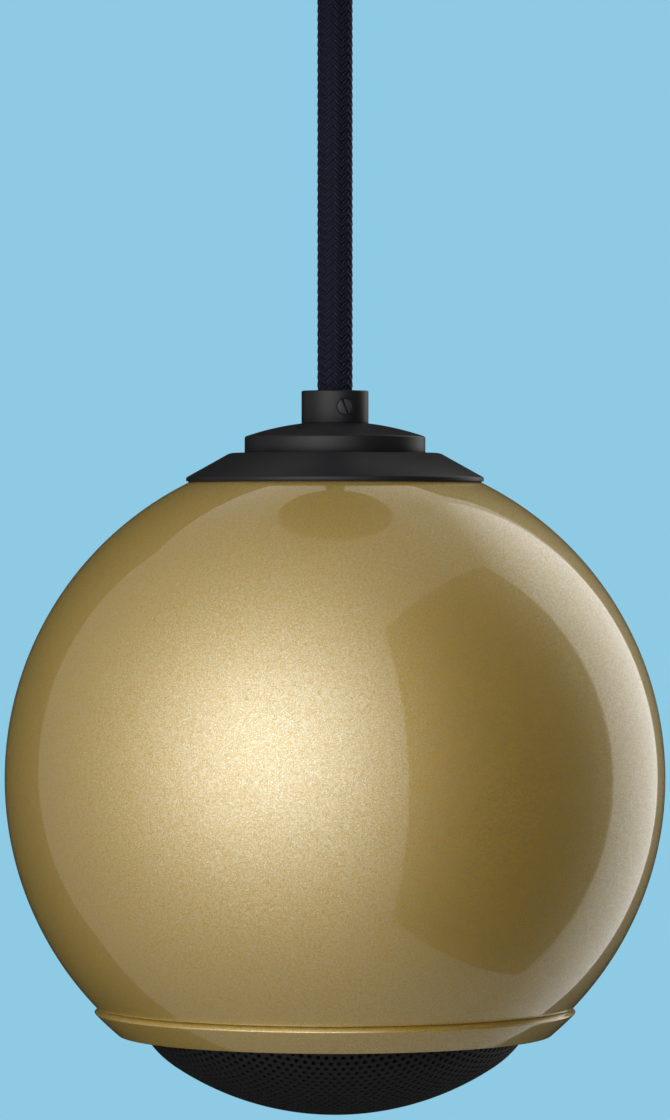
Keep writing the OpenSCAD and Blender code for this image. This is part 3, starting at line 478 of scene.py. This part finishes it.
# %% Grille: trim the sheet round and bridge its border on
bpy.ops.object.mode_set(mode="EDIT")
bpy.ops.mesh.select_mode(type="FACE")
bpy.ops.mesh.select_all(action="DESELECT")
sheet = bmesh.from_edit_mesh(grille.data)
sheet.faces.ensure_lookup_table()
kept = 0
for first in range(0, len(sheet.faces), 12):
    wedges = [sheet.faces[first + k] for k in range(12)]
    spot = sum((w.calc_center_median() for w in wedges), start=wedges[0].normal * 0) / 12
    far = spot.length > PUNCHED_R * MM
    kept += not far
    for wedge in wedges:
        wedge.select_set(far)
bmesh.update_edit_mesh(grille.data)
bpy.ops.mesh.delete(type="FACE")
bpy.ops.mesh.select_all(action="SELECT")
bpy.ops.mesh.remove_doubles(threshold=1e-5)
bpy.ops.mesh.select_mode(type="EDGE")
bpy.ops.mesh.select_all(action="DESELECT")
sheet = bmesh.from_edit_mesh(grille.data)
rim = [k for k, edge in enumerate(sheet.edges)
       if edge.is_boundary and edge.calc_length() > 0.4 * MM]
# two loops in one plane can be bridged across the middle, so one is lowered;
# pressing gives every point its height later
bpy.ops.mesh.primitive_circle_add(vertices=len(rim), radius=45 * MM,
                                  location=(0, 0, -10 * MM))
sheet = bmesh.from_edit_mesh(grille.data)
sheet.edges.ensure_lookup_table()
for k in rim:
    sheet.edges[k].select_set(True)
bmesh.update_edit_mesh(grille.data)
bpy.ops.mesh.bridge_edge_loops()
select_edges(lambda p: math.hypot(p.x, p.y) > 44.9)
reach = 45.0
DOME_END = 46.31
for ring_r in (45.65, DOME_END, DOME_END + 0.8, DOME_END + 3.76):
    bpy.ops.mesh.extrude_region_move()
    bpy.ops.transform.resize(value=(ring_r / reach,) * 3, center_override=(0, 0, 0))
    reach = ring_r
bpy.ops.object.mode_set(mode="OBJECT")
print("holes:", kept, "rim edges:", len(rim))

# %% Grille: press the blank into a dome and give it its wall
CROWN_R, CROWN_Z, CROWN_TURN = 55.57, -8.99, math.radians(34.17)
SHOULDER_R, SHOULDER_X, SHOULDER_Z = 18.6, 20.75, -39.56
CROWN_RUN = CROWN_R * CROWN_TURN
SEAT_Z = -44.46


def pressed(run):
    """Radius and height of the dome's outer face at a distance along it."""
    if run <= CROWN_RUN:
        turn = run / CROWN_R
        return CROWN_R * math.sin(turn), CROWN_Z - CROWN_R * math.cos(turn)
    turn = CROWN_TURN + (min(run, DOME_END) - CROWN_RUN) / SHOULDER_R
    r = SHOULDER_X + SHOULDER_R * math.sin(turn)
    return r + max(0, run - DOME_END), max(SEAT_Z, SHOULDER_Z - SHOULDER_R * math.cos(turn)) \
        if run >= DOME_END else SHOULDER_Z - SHOULDER_R * math.cos(turn)


for vert in grille.data.vertices:
    run = math.hypot(vert.co.x, vert.co.y) / MM
    r, z = pressed(run)
    stretch = r / run if run > 1e-6 else 1.0
    vert.co = (vert.co.x * stretch, vert.co.y * stretch, z * MM)
bpy.ops.object.mode_set(mode="EDIT")
bpy.ops.mesh.select_all(action="SELECT")
bpy.ops.mesh.normals_make_consistent(inside=False)
dome = bmesh.from_edit_mesh(grille.data)
if sum(face.normal.z for face in dome.faces) > 0:
    bpy.ops.mesh.flip_normals()
longest = max(edge.calc_length() for edge in dome.edges) / MM
bpy.ops.object.mode_set(mode="OBJECT")
print("longest edge of the grille:", round(longest, 1), "mm")
apply_modifier(grille, "SOLIDIFY", thickness=0.8 * MM, offset=-1.0)

# %% [markdown]
# The pressed sheet is powder coated in matt black: a dead, dark film with a
# very fine sand to it and hardly any gloss.

# %% Grille material
grille_coat, tree, shader, place, grain = grained(
    "matt_black_powder_coat", "111113", 0.62, 0.0, 0.25, 0.02, Specular_IOR_Level=0.3)
tree.links.new(blend_colours(tree, grain.outputs[0], "08080A", "121214"),
               shader.inputs["Base Color"])
stand_for(settle("perforated_grille", BALL_Z), grille_coat, "grille_coat", "grille")

# %% [markdown]
# The cap is turned from aluminium in two parts: a sloped base that fits the
# ball and a drum with a slightly domed top. Satin black powder coat covers
# both, with soft edges where the film pulls back and looks a little lighter.

# %% Satin black material
black_coat, tree, shader, place, grain = grained(
    "satin_black_powder_coat", "1B1B1D", 0.42, 0.0, 0.45, 0.012,
    Specular_IOR_Level=0.3)
patches = add_node(tree, "ShaderNodeTexNoise", {"Vector": place, "Scale": 1 / (6 * MM)})
tree.links.new(blend_colours(tree, patches.outputs[0], "131315", "1B1B1E"),
               shader.inputs["Base Color"])
rough = add_node(tree, "ShaderNodeMapRange",
                 {"Value": grain.outputs[0], "To Min": 0.36, "To Max": 0.5})
tree.links.new(rough.outputs[0], shader.inputs["Roughness"])

# %% Cap: sloped base
draw((15.5, 62.57), (19.9, 62.57), (20.5, 62.42), (28.65, 57.87), (28.65, 57.12),
     (0, 0, 12.6, 16), (15.5, 62.57))
lathe(256)
soften(28.65, 57.87, 0.22, 4)
soften(28.65, 57.12, 0.1, 2)
stand_for(settle("cap_sloped_base", BALL_Z), black_coat, "black_coat", "cap_base")

# %% Cap: drum with its domed top
draw((5.15, 64.3), (16.0, 64.3), (16.0, 62.57), (17.4, 62.57), (17.4, 65.72),
     (0, 15.976, 12.1, 16), (5.15, 68.26), (5.15, 64.3))
lathe(192)
soften(17.4, 65.72, 0.3, 4)
soften(17.4, 62.57, 0.12, 2)
stand_for(settle("cap_drum", BALL_Z), black_coat, "black_coat", "cap_dome")

# %% [markdown]
# A cord grip is one turned piece: the collar that shows, and a threaded tail
# that a nut clamps inside. The same piece stands on the cap and hangs upside
# down under the ceiling cup, so it is modelled once and copied; the upper one
# has a shorter tail. A cross hole in the collar takes the grub screw.

# %% Cord grips
TAIL, UPPER_TAIL = 13.66, 7.2
COLLAR_Z, CUP_Z = 68.26, -24.0
GRUB_TURN = math.radians(18)

draw((3.6, -TAIL), (4.7, -TAIL), (5.0, 0.3 - TAIL), (5.0, 0), (6.45, 0), (6.45, 6.0),
     (6.45 - 0.3, 6.0, 90, 5), (3.9, 6.3), (3.6, 6.0), (3.6, -TAIL))
lathe(144)
soften(6.45, 0, 0.15, 2)
bpy.ops.object.mode_set(mode="OBJECT")
grip = bpy.context.object
for radius, near, far in ((1.55, 2.0, 8.0), (1.75, 6.2, 8.0)):
    bpy.ops.object.select_all(action="DESELECT")
    bpy.ops.mesh.primitive_cylinder_add(
        vertices=48, radius=radius * MM, depth=(far - near) * MM,
        location=(0, -(near + far) / 2 * MM, 3.15 * MM), rotation=(math.radians(90), 0, 0))
    cut(grip, bpy.context.object)


def hang_up(piece, name):
    """A copy of a piece of the lower grip, turned over under the ceiling cup."""
    bpy.ops.object.select_all(action="DESELECT")
    piece.select_set(True)
    bpy.context.view_layer.objects.active = piece
    bpy.ops.object.duplicate()
    upper = bpy.context.object
    bpy.ops.object.mode_set(mode="EDIT")
    select_edges(lambda p: p.z < -1)
    bpy.ops.transform.translate(value=(0, 0, (TAIL - UPPER_TAIL) * MM))
    bpy.ops.object.mode_set(mode="OBJECT")
    upper.rotation_euler = (math.radians(180), 0, 0)
    return settle(name, CUP_Z)


stand_for(hang_up(grip, "upper_cord_grip"), black_coat, "black_coat", "ceiling_grip")
bpy.ops.object.select_all(action="DESELECT")
grip.select_set(True)
bpy.context.view_layer.objects.active = grip
grip.rotation_euler = (0, 0, GRUB_TURN)
stand_for(settle("lower_cord_grip", BALL_Z + COLLAR_Z), black_coat, "black_coat", "cord_grip")

# %% [markdown]
# The grub screw is blackened steel, with a sawn slot that happened to stop
# leaning to the left. Oil in the black oxide gives it a dull metal gloss.

# %% Black oxide material
black_oxide, tree, shader, place, grain = grained(
    "black_oxide_on_steel", "414144", 0.5, 0.6, 0.3, 0.015)
rough = add_node(tree, "ShaderNodeMapRange",
                 {"Value": grain.outputs[0], "To Min": 0.42, "To Max": 0.6})
tree.links.new(rough.outputs[0], shader.inputs["Roughness"])

# %% Grub screws
bpy.ops.object.select_all(action="DESELECT")
bpy.ops.mesh.primitive_cylinder_add(
    vertices=48, radius=1.5 * MM, depth=2.7 * MM, location=(0, -4.85 * MM, 3.15 * MM),
    rotation=(math.radians(90), 0, 0))
grub = bpy.context.object
bpy.ops.object.transform_apply(location=True, rotation=True, scale=True)
apply_modifier(grub, "BEVEL", width=0.12 * MM, segments=2, angle_limit=math.radians(40))
bpy.ops.mesh.primitive_cube_add(
    size=MM, location=(0, -5.8 * MM, 3.15 * MM), scale=(0.5, 1.0, 6),
    rotation=(0, math.radians(-22), 0))
cut(grub, bpy.context.object)
bpy.context.view_layer.objects.active = grub
stand_for(hang_up(grub, "upper_grub_screw"), black_oxide, "black_steel",
          "ceiling_grub_screw")
bpy.ops.object.select_all(action="DESELECT")
grub.select_set(True)
bpy.context.view_layer.objects.active = grub
grub.rotation_euler = (0, 0, GRUB_TURN)
stand_for(settle("lower_grub_screw", BALL_Z + COLLAR_Z), black_oxide, "black_steel",
          "grub_screw")

# %% [markdown]
# The ceiling cup is spun steel in the same satin black. It slides up over the
# bracket and hides the terminals; two round-headed screws hold its sides.

# %% Ceiling cup
draw((5.15, CUP_Z), (32, CUP_Z), (32, -18, 90, 12), (38, 0), (36.8, 0), (36.8, -18),
     (32, -18, -90, 10), (5.15, -22.8), (5.15, CUP_Z))
lathe(256)
soften(38, 0, 0.2, 2)
bpy.ops.object.mode_set(mode="OBJECT")
cup = bpy.context.object
bpy.ops.object.select_all(action="DESELECT")
bpy.ops.mesh.primitive_cylinder_add(vertices=48, radius=2.2 * MM, depth=100 * MM,
                                    location=(0, 0, -7 * MM),
                                    rotation=(0, math.radians(90), 0))
cut(cup, bpy.context.object)
bpy.context.view_layer.objects.active = cup
stand_for(settle("ceiling_cup_black"), black_coat, "black_coat", "ceiling_cup")

# %% Cup screws
draw((0, 2), (0, -2.0625, -59.5, 10), (2, 0), (2, -5.3), (1.85, -5.45), (0, -5.45))
lathe(48)
soften(3.5, 0, 0.12, 2)
bpy.ops.object.mode_set(mode="OBJECT")
screw = bpy.context.object
bpy.ops.object.select_all(action="DESELECT")
bpy.ops.mesh.primitive_cube_add(size=MM, location=(0, 0, 2.5 * MM), scale=(8, 1, 3))
cut(screw, bpy.context.object)
bpy.context.view_layer.objects.active = screw
screw.location = (38.05 * MM, 0, -7 * MM)
screw.rotation_euler = (0, math.radians(90), 0)
bpy.ops.object.transform_apply(location=True, rotation=True)
bpy.ops.object.duplicate()
bpy.context.object.rotation_euler = (0, 0, math.radians(180))
bpy.ops.object.transform_apply(rotation=True)
screw.select_set(True)
bpy.context.view_layer.objects.active = screw
bpy.ops.object.join()
stand_for(settle("cup_screws_black"), black_oxide, "black_steel", "cup_screws")

# %% [markdown]
# Now the pieces inside the cup and the ball. Their CAD shapes are right, so
# each keeps its mesh and only gets the finish of the real part. The hardware
# comes first: zinc plate with its faint crystal pattern, bare turned steel
# with fine rings from the tool, crimped aluminium and turned brass.

# %% Metals inside
zinc, tree, shader, place, grain = grained(
    "zinc_plated_steel", "AEB1B4", 0.42, 1.0, 0.4, 0.008)
# zinc crystals, 2 mm across
crystals = add_node(tree, "ShaderNodeTexVoronoi", {"Vector": place, "Scale": 1 / (2 * MM)})
tone = add_node(tree, "ShaderNodeSeparateColor", {0: crystals.outputs["Color"]})
tree.links.new(blend_colours(tree, tone.outputs[0], "9DA1A5", "BCBFC1"),
               shader.inputs["Base Color"])

bare, tree, shader, place, grain = grained("turned_mild_steel", "9A9A9C", 0.4, 1.0, 0.5, 0.01)
# tool rings, 0.05 mm apart on the real part and drawn at 0.3 mm
rings = add_node(tree, "ShaderNodeTexWave",
                 {"Vector": place, "Scale": math.tau / 20 / (0.3 * MM), "Distortion": 0.5},
                 wave_type="RINGS", rings_direction="Z")
rough = add_node(tree, "ShaderNodeMapRange",
                 {"Value": rings.outputs[1], "To Min": 0.32, "To Max": 0.46})
tree.links.new(rough.outputs[0], shader.inputs["Roughness"])

crimp, tree, shader, place, grain = grained("crimped_aluminium", "BFC0C4", 0.38, 1.0, 0.6, 0.03)

brass, tree, shader, place, grain = grained("turned_brass", "D2AC5E", 0.3, 1.0, 0.5, 0.008)
tarnish = add_node(tree, "ShaderNodeTexNoise", {"Vector": place, "Scale": 1 / (3 * MM)})
tree.links.new(blend_colours(tree, tarnish.outputs[0], "B88F45", "DDBB72"),
               shader.inputs["Base Color"])

# %% [markdown]
# Then the plastics and rubbers: the polyamide terminal block, the PVC skins of
# the two cores, and moulded rubber seals. None is a perfect colour: noise
# moves the colour and the gloss a little, as moulding and handling do.

# %% Plastics and rubber inside
nylon, tree, shader, place, grain = grained(
    "moulded_polyamide", "E4E0D4", 0.46, 0.0, 0.5, 0.015, IOR=1.53)
tree.links.new(blend_colours(tree, grain.outputs[0], "DDD8CA", "EAE7DD"),
               shader.inputs["Base Color"])

red_pvc, tree, shader, place, grain = grained(
    "extruded_red_pvc", "9E1F1A", 0.4, 0.0, 0.8, 0.01, IOR=1.53)
tree.links.new(blend_colours(tree, grain.outputs[0], "8E1915", "AC2620"),
               shader.inputs["Base Color"])

black_pvc, tree, shader, place, grain = grained(
    "extruded_black_pvc", "1C1C1D", 0.4, 0.0, 0.8, 0.01, IOR=1.53)
tree.links.new(blend_colours(tree, grain.outputs[0], "161617", "242425"),
               shader.inputs["Base Color"])

rubber, tree, shader, place, grain = grained(
    "moulded_black_rubber", "171717", 0.78, 0.0, 0.3, 0.03, IOR=1.52)
tree.links.new(blend_colours(tree, grain.outputs[0], "121212", "1D1D1D"),
               shader.inputs["Base Color"])

board, tree, shader, place, grain = grained(
    "pressed_phenolic_paper", "6E4A28", 0.5, 0.0, 0.25, 0.02, IOR=1.6)
tree.links.new(blend_colours(tree, grain.outputs[0], "5A3A1E", "825A33"),
               shader.inputs["Base Color"])

# %% [markdown]
# Last, what makes the sound: a painted steel basket, a grey ferrite magnet, a
# coil of enamelled copper on its aluminium former, a paper cone and a spider
# of corrugated cloth. Woven and wound patterns are drawn from thread sizes.

# %% Driver materials
basket_paint, tree, shader, place, grain = grained(
    "black_dipped_steel", "242426", 0.45, 0.0, 0.8, 0.03, IOR=1.5)
tree.links.new(blend_colours(tree, grain.outputs[0], "1D1D1F", "2C2C2E"),
               shader.inputs["Base Color"])

ferrite, tree, shader, place, grain = grained(
    "ground_ferrite", "3A3A3C", 0.66, 0.0, 0.35, 0.04, IOR=2.2)
tree.links.new(blend_colours(tree, grain.outputs[0], "303032", "464648"),
               shader.inputs["Base Color"])

former, tree, shader, place, grain = grained(
    "rolled_aluminium_foil", "C2BBA2", 0.36, 1.0, 0.6, 0.006)

enamelled, tree, shader, place, grain = grained(
    "enamelled_copper_wire", "B8683A", 0.34, 1.0, 0.6, 0.006, Coat_Weight=0.5)
# turns of 0.2 mm wire
turns = add_node(tree, "ShaderNodeTexWave",
                 {"Vector": place, "Scale": math.tau / 20 / (0.2 * MM)},
                 bands_direction="Z")
ridge = add_node(tree, "ShaderNodeBump",
                 {"Height": turns.outputs[1], "Distance": 0.05 * MM, "Strength": 1.0})
tree.links.new(ridge.outputs[0], shader.inputs["Normal"])

spider_cloth, tree, shader, place, grain = grained(
    "resin_dipped_cotton", "B9963F", 0.8, 0.0, 0.4, 0.03, Sheen_Weight=0.2)
# cotton threads 0.4 mm apart, drawn both ways
weave = [add_node(tree, "ShaderNodeTexWave",
                  {"Vector": place, "Scale": math.tau / 20 / (0.4 * MM)},
                  bands_direction=way).outputs[1] for way in ("X", "Y")]
cross = add_node(tree, "ShaderNodeMath", {0: weave[0], 1: weave[1]}, operation="MULTIPLY")
tree.links.new(blend_colours(tree, cross.outputs[0], "94742B", "CDAA52"),
               shader.inputs["Base Color"])

cone_paper, tree, shader, place, grain = grained(
    "pressed_black_paper", "242426", 0.85, 0.0, 0.3, 0.05, Sheen_Weight=0.15)
fibres = add_node(tree, "ShaderNodeTexNoise",
                  {"Vector": place, "Scale": 1 / (1.2 * MM), "Distortion": 2.0})
tree.links.new(blend_colours(tree, fibres.outputs[0], "1A1A1C", "303034"),
               shader.inputs["Base Color"])

fleece, tree, shader, place, grain = grained(
    "polyester_fleece", "DEDDD8", 1.0, 0.0, 1.5, 0.4, Sheen_Weight=0.4)
tree.links.new(blend_colours(tree, grain.outputs[0], "C9C8C2", "ECEBE7"),
               shader.inputs["Base Color"])

tinsel, tree, shader, place, grain = grained(
    "plaited_copper_tinsel", "C88C5C", 0.42, 1.0, 0.2, 0.04)

# %% Finish the CAD pieces that stay
FINISHES = {
    zinc: ["ceiling_bracket", "ceiling_washer", "ceiling_nut", "terminal_screws", "block_screw",
           "shell_washer", "shell_nut", "driver_screws"],
    bare: ["baffle_ring", "front_plate", "yoke"],
    crimp: ["ceiling_ferrule", "cord_ferrule"],
    brass: ["terminal_inserts", "solder_tags"],
    nylon: ["terminal_block"],
    red_pvc: ["tail_positive", "lead_positive"],
    black_pvc: ["tail_negative", "lead_negative"],
    rubber: ["cap_gasket", "driver_gasket", "surround"],
    board: ["tag_board"],
    basket_paint: ["driver_basket"],
    ferrite: ["magnet"],
    former: ["coil_former"],
    enamelled: ["voice_coil"],
    spider_cloth: ["spider"],
    cone_paper: ["cone", "dust_cap"],
    fleece: ["wadding"],
    tinsel: ["tinsel_leads"],
}
for material, names in FINISHES.items():
    for name in names:
        for place in nodes[name].material_slots:
            place.material = material
print("finished", sum(len(names) for names in FINISHES.values()), "CAD pieces")

# %% [markdown]
# The cord is 135 mm long and 6.9 mm thick, held taut by the weight of the ball,
# with the ceiling fitting at its far end.

# %% [markdown]
# A glossy ball shows the whole studio, so the studio is part of the likeness.
# It is a light tent of white cloth with one lamp behind the cloth at the left,
# a dark panel on the right, a dark panel behind, and a bright strip between
# them. Directions are counted from the ball: 0 is towards the camera.

# %% Light tent
BALL = (0, 0, BALL_Z * MM)


def heading(azimuth, elevation):
    a, e = math.radians(azimuth), math.radians(elevation)
    return (math.sin(a) * math.cos(e), -math.cos(a) * math.cos(e), math.sin(e))


def glowing(name):
    """A material that only gives off light, its tree and its emission."""
    material = bpy.data.materials.new(name)
    material.use_nodes = True
    tree = material.node_tree
    tree.nodes.remove(tree.nodes["Principled BSDF"])
    glow = add_node(tree, "ShaderNodeEmission")
    tree.links.new(glow.outputs[0], tree.nodes["Material Output"].inputs[0])
    return material, tree, glow


TENT_LEVEL = 0.27
# azimuth, elevation, width in degrees, level: the main lamp's core and its halo on
# the cloth, and a lamp behind the ball
LAMPS = [(-22, 12, 20, 1.15), (-22, 12, 27, 1.85), (180, 38, 15, 0.8)]
bpy.ops.object.select_all(action="DESELECT")
bpy.ops.mesh.primitive_uv_sphere_add(segments=64, ring_count=32, radius=6, location=BALL)
tent = bpy.context.object
tent.name = "light_tent"
cloth, tree, glow = glowing("tent_cloth")
place = add_node(tree, "ShaderNodeTexCoord").outputs["Object"]
ray = add_node(tree, "ShaderNodeVectorMath", {0: place}, operation="NORMALIZE")
level = None
for azimuth, elevation, width, strength in LAMPS:
    facing = add_node(tree, "ShaderNodeVectorMath",
                      {0: ray.outputs[0], 1: heading(azimuth, elevation)},
                      operation="DOT_PRODUCT")
    # a bell curve round the lamp: exp((cos - 1) / width squared)
    fall = add_node(tree, "ShaderNodeMath", {0: facing.outputs["Value"], 1: 1.0},
                    operation="SUBTRACT")
    fall = add_node(tree, "ShaderNodeMath",
                    {0: fall.outputs[0], 1: math.radians(width) ** -2}, operation="MULTIPLY")
    bell = add_node(tree, "ShaderNodeMath", {0: fall.outputs[0]}, operation="EXPONENT")
    level = add_node(tree, "ShaderNodeMath",
                     {0: bell.outputs[0], 1: strength,
                      2: level.outputs[0] if level else TENT_LEVEL}, operation="MULTIPLY_ADD")
tree.links.new(level.outputs[0], glow.inputs["Strength"])
tent.data.materials.append(cloth)
tent.visible_camera = False
tent.visible_shadow = False
tent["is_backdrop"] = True

# %% Dark panels and the bright strip
PANEL_FAR = 2.5


def panel(name, corners, material):
    """A flat panel through corners given as directions, at a distance from the ball."""
    bpy.ops.object.select_all(action="DESELECT")
    bpy.ops.mesh.primitive_plane_add(size=1, enter_editmode=True)
    mesh = bmesh.from_edit_mesh(bpy.context.object.data)
    for vert, corner in zip(mesh.verts, corners):
        vert.co = corner
    bpy.ops.object.mode_set(mode="OBJECT")
    piece = bpy.context.object
    piece.name = name
    piece.location = BALL
    piece.data.materials.append(material)
    piece.visible_camera = piece.visible_shadow = False
    piece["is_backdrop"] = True
    return piece


def on_plane(azimuth, elevation, plane_azimuth):
    """The place on the upright plane that faces one azimuth, in a direction from the ball."""
    away = PANEL_FAR / math.cos(math.radians(azimuth - plane_azimuth))
    a = math.radians(azimuth)
    return (math.sin(a) * away, -math.cos(a) * away, away * math.tan(math.radians(elevation)))


felt, tree, shader = start_material("black_felt", Base_Color=rgb("050505"), Roughness=1.0)
right_top, right_low = PANEL_FAR * math.tan(math.radians(61)), -PANEL_FAR * math.tan(
    math.radians(54))
corners = [on_plane(25, 0, 67.5), on_plane(110, 0, 67.5)]
right = panel("dark_panel_right", [
    (*corners[0][:2], right_low), (*corners[1][:2], right_low),
    (*corners[0][:2], right_top), (*corners[1][:2], right_top)], felt)
back = panel("dark_panel_behind", [
    on_plane(145, -35, 180), on_plane(-112, -55, 180), on_plane(157, 45, 180),
    on_plane(-132, 42, 180)], felt)
lit, tree, glow = glowing("lit_strip")
place = add_node(tree, "ShaderNodeTexCoord").outputs["Object"]
apart = add_node(tree, "ShaderNodeSeparateXYZ", {0: place})
# the strip fades out at both ends, and is brighter towards the back
down = add_node(tree, "ShaderNodeMapRange",
                {"Value": apart.outputs["Z"], "From Min": -3.2, "From Max": 1.0,
                 "To Min": 0.2, "To Max": 1.0}, interpolation_type="SMOOTHSTEP")
across = add_node(tree, "ShaderNodeMapRange",
                  {"Value": apart.outputs["Y"], "From Min": 0.8, "From Max": 2.2,
                   "To Min": 0.95, "To Max": 1.6})
up = add_node(tree, "ShaderNodeMapRange",
              {"Value": apart.outputs["Z"], "From Min": 1.6, "From Max": 4.0,
               "To Min": 1.0, "To Max": 0.2}, interpolation_type="SMOOTHSTEP")
ends = add_node(tree, "ShaderNodeMath", {0: down.outputs[0], 1: up.outputs[0]},
                operation="MULTIPLY")
level = add_node(tree, "ShaderNodeMath", {0: ends.outputs[0], 1: across.outputs[0]},
                 operation="MULTIPLY")
tree.links.new(level.outputs[0], glow.inputs["Strength"])
strip = panel("bright_strip", [
    on_plane(111, -60, 130), on_plane(146, -60, 130), on_plane(111, 60, 130),
    on_plane(155, 60, 130)], lit)
for piece in (right, back):
    piece.visible_diffuse = False

# %% Floor
FLOOR_Z, FLOOR_R = -0.55, 1.2
bpy.ops.object.select_all(action="DESELECT")
bpy.ops.mesh.primitive_circle_add(vertices=128, radius=FLOOR_R, fill_type="NGON",
                                  location=(0, 0, FLOOR_Z))
floor = bpy.context.object
floor.name = "pale_floor"
paper, tree, shader = start_material("pale_blue_paper", Base_Color=rgb("C9DFE9"), Roughness=0.9)
place = add_node(tree, "ShaderNodeTexCoord").outputs["Object"]
away = add_node(tree, "ShaderNodeVectorMath", {0: place}, operation="LENGTH")
edge = add_node(tree, "ShaderNodeMapRange",
                {"Value": away.outputs["Value"], "From Min": 0.5 * FLOOR_R,
                 "From Max": FLOOR_R, "To Min": 1.0, "To Max": 0.0},
                interpolation_type="SMOOTHSTEP")
# seen from below the paper isn't there
below = add_node(tree, "ShaderNodeNewGeometry").outputs["Backfacing"]
seen = add_node(tree, "ShaderNodeMath", {0: 1.0, 1: below}, operation="SUBTRACT")
cover = add_node(tree, "ShaderNodeMath", {0: edge.outputs[0], 1: seen.outputs[0]},
                 operation="MULTIPLY")
tree.links.new(cover.outputs[0], shader.inputs["Alpha"])
floor.data.materials.append(paper)
floor.visible_glossy = False
floor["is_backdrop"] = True

# %% [markdown]
# Behind everything is a plain pale blue. The camera, mirrors and glass see it;
# soft light doesn't, so that the blue doesn't tint the paint.

# %% World
world = bpy.data.worlds.new("pale_blue_backdrop")
bpy.context.scene.world = world
world.use_nodes = True
tree = world.node_tree
background = tree.nodes["Background"]
path = add_node(tree, "ShaderNodeLightPath")
mirror = add_node(tree, "ShaderNodeMath",
                  {0: path.outputs["Is Glossy Ray"], 1: path.outputs["Is Transmission Ray"]},
                  operation="MAXIMUM")
seen = add_node(tree, "ShaderNodeMath",
                {0: path.outputs["Is Camera Ray"], 1: mirror.outputs[0]},
                operation="MAXIMUM")
tree.links.new(blend_colours(tree, seen.outputs[0], "B0B0B0", "8ECAE4"),
               background.inputs["Color"])
background.inputs["Strength"].default_value = 1.0

# %% Boxes of the CAD model and the dressed model
size = {"cad": cad_box, "visual": [list(corner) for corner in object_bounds()]}
for name, box in size.items():
    print(name, "box in mm:", [[round(c / MM, 2) for c in corner] for corner in box])
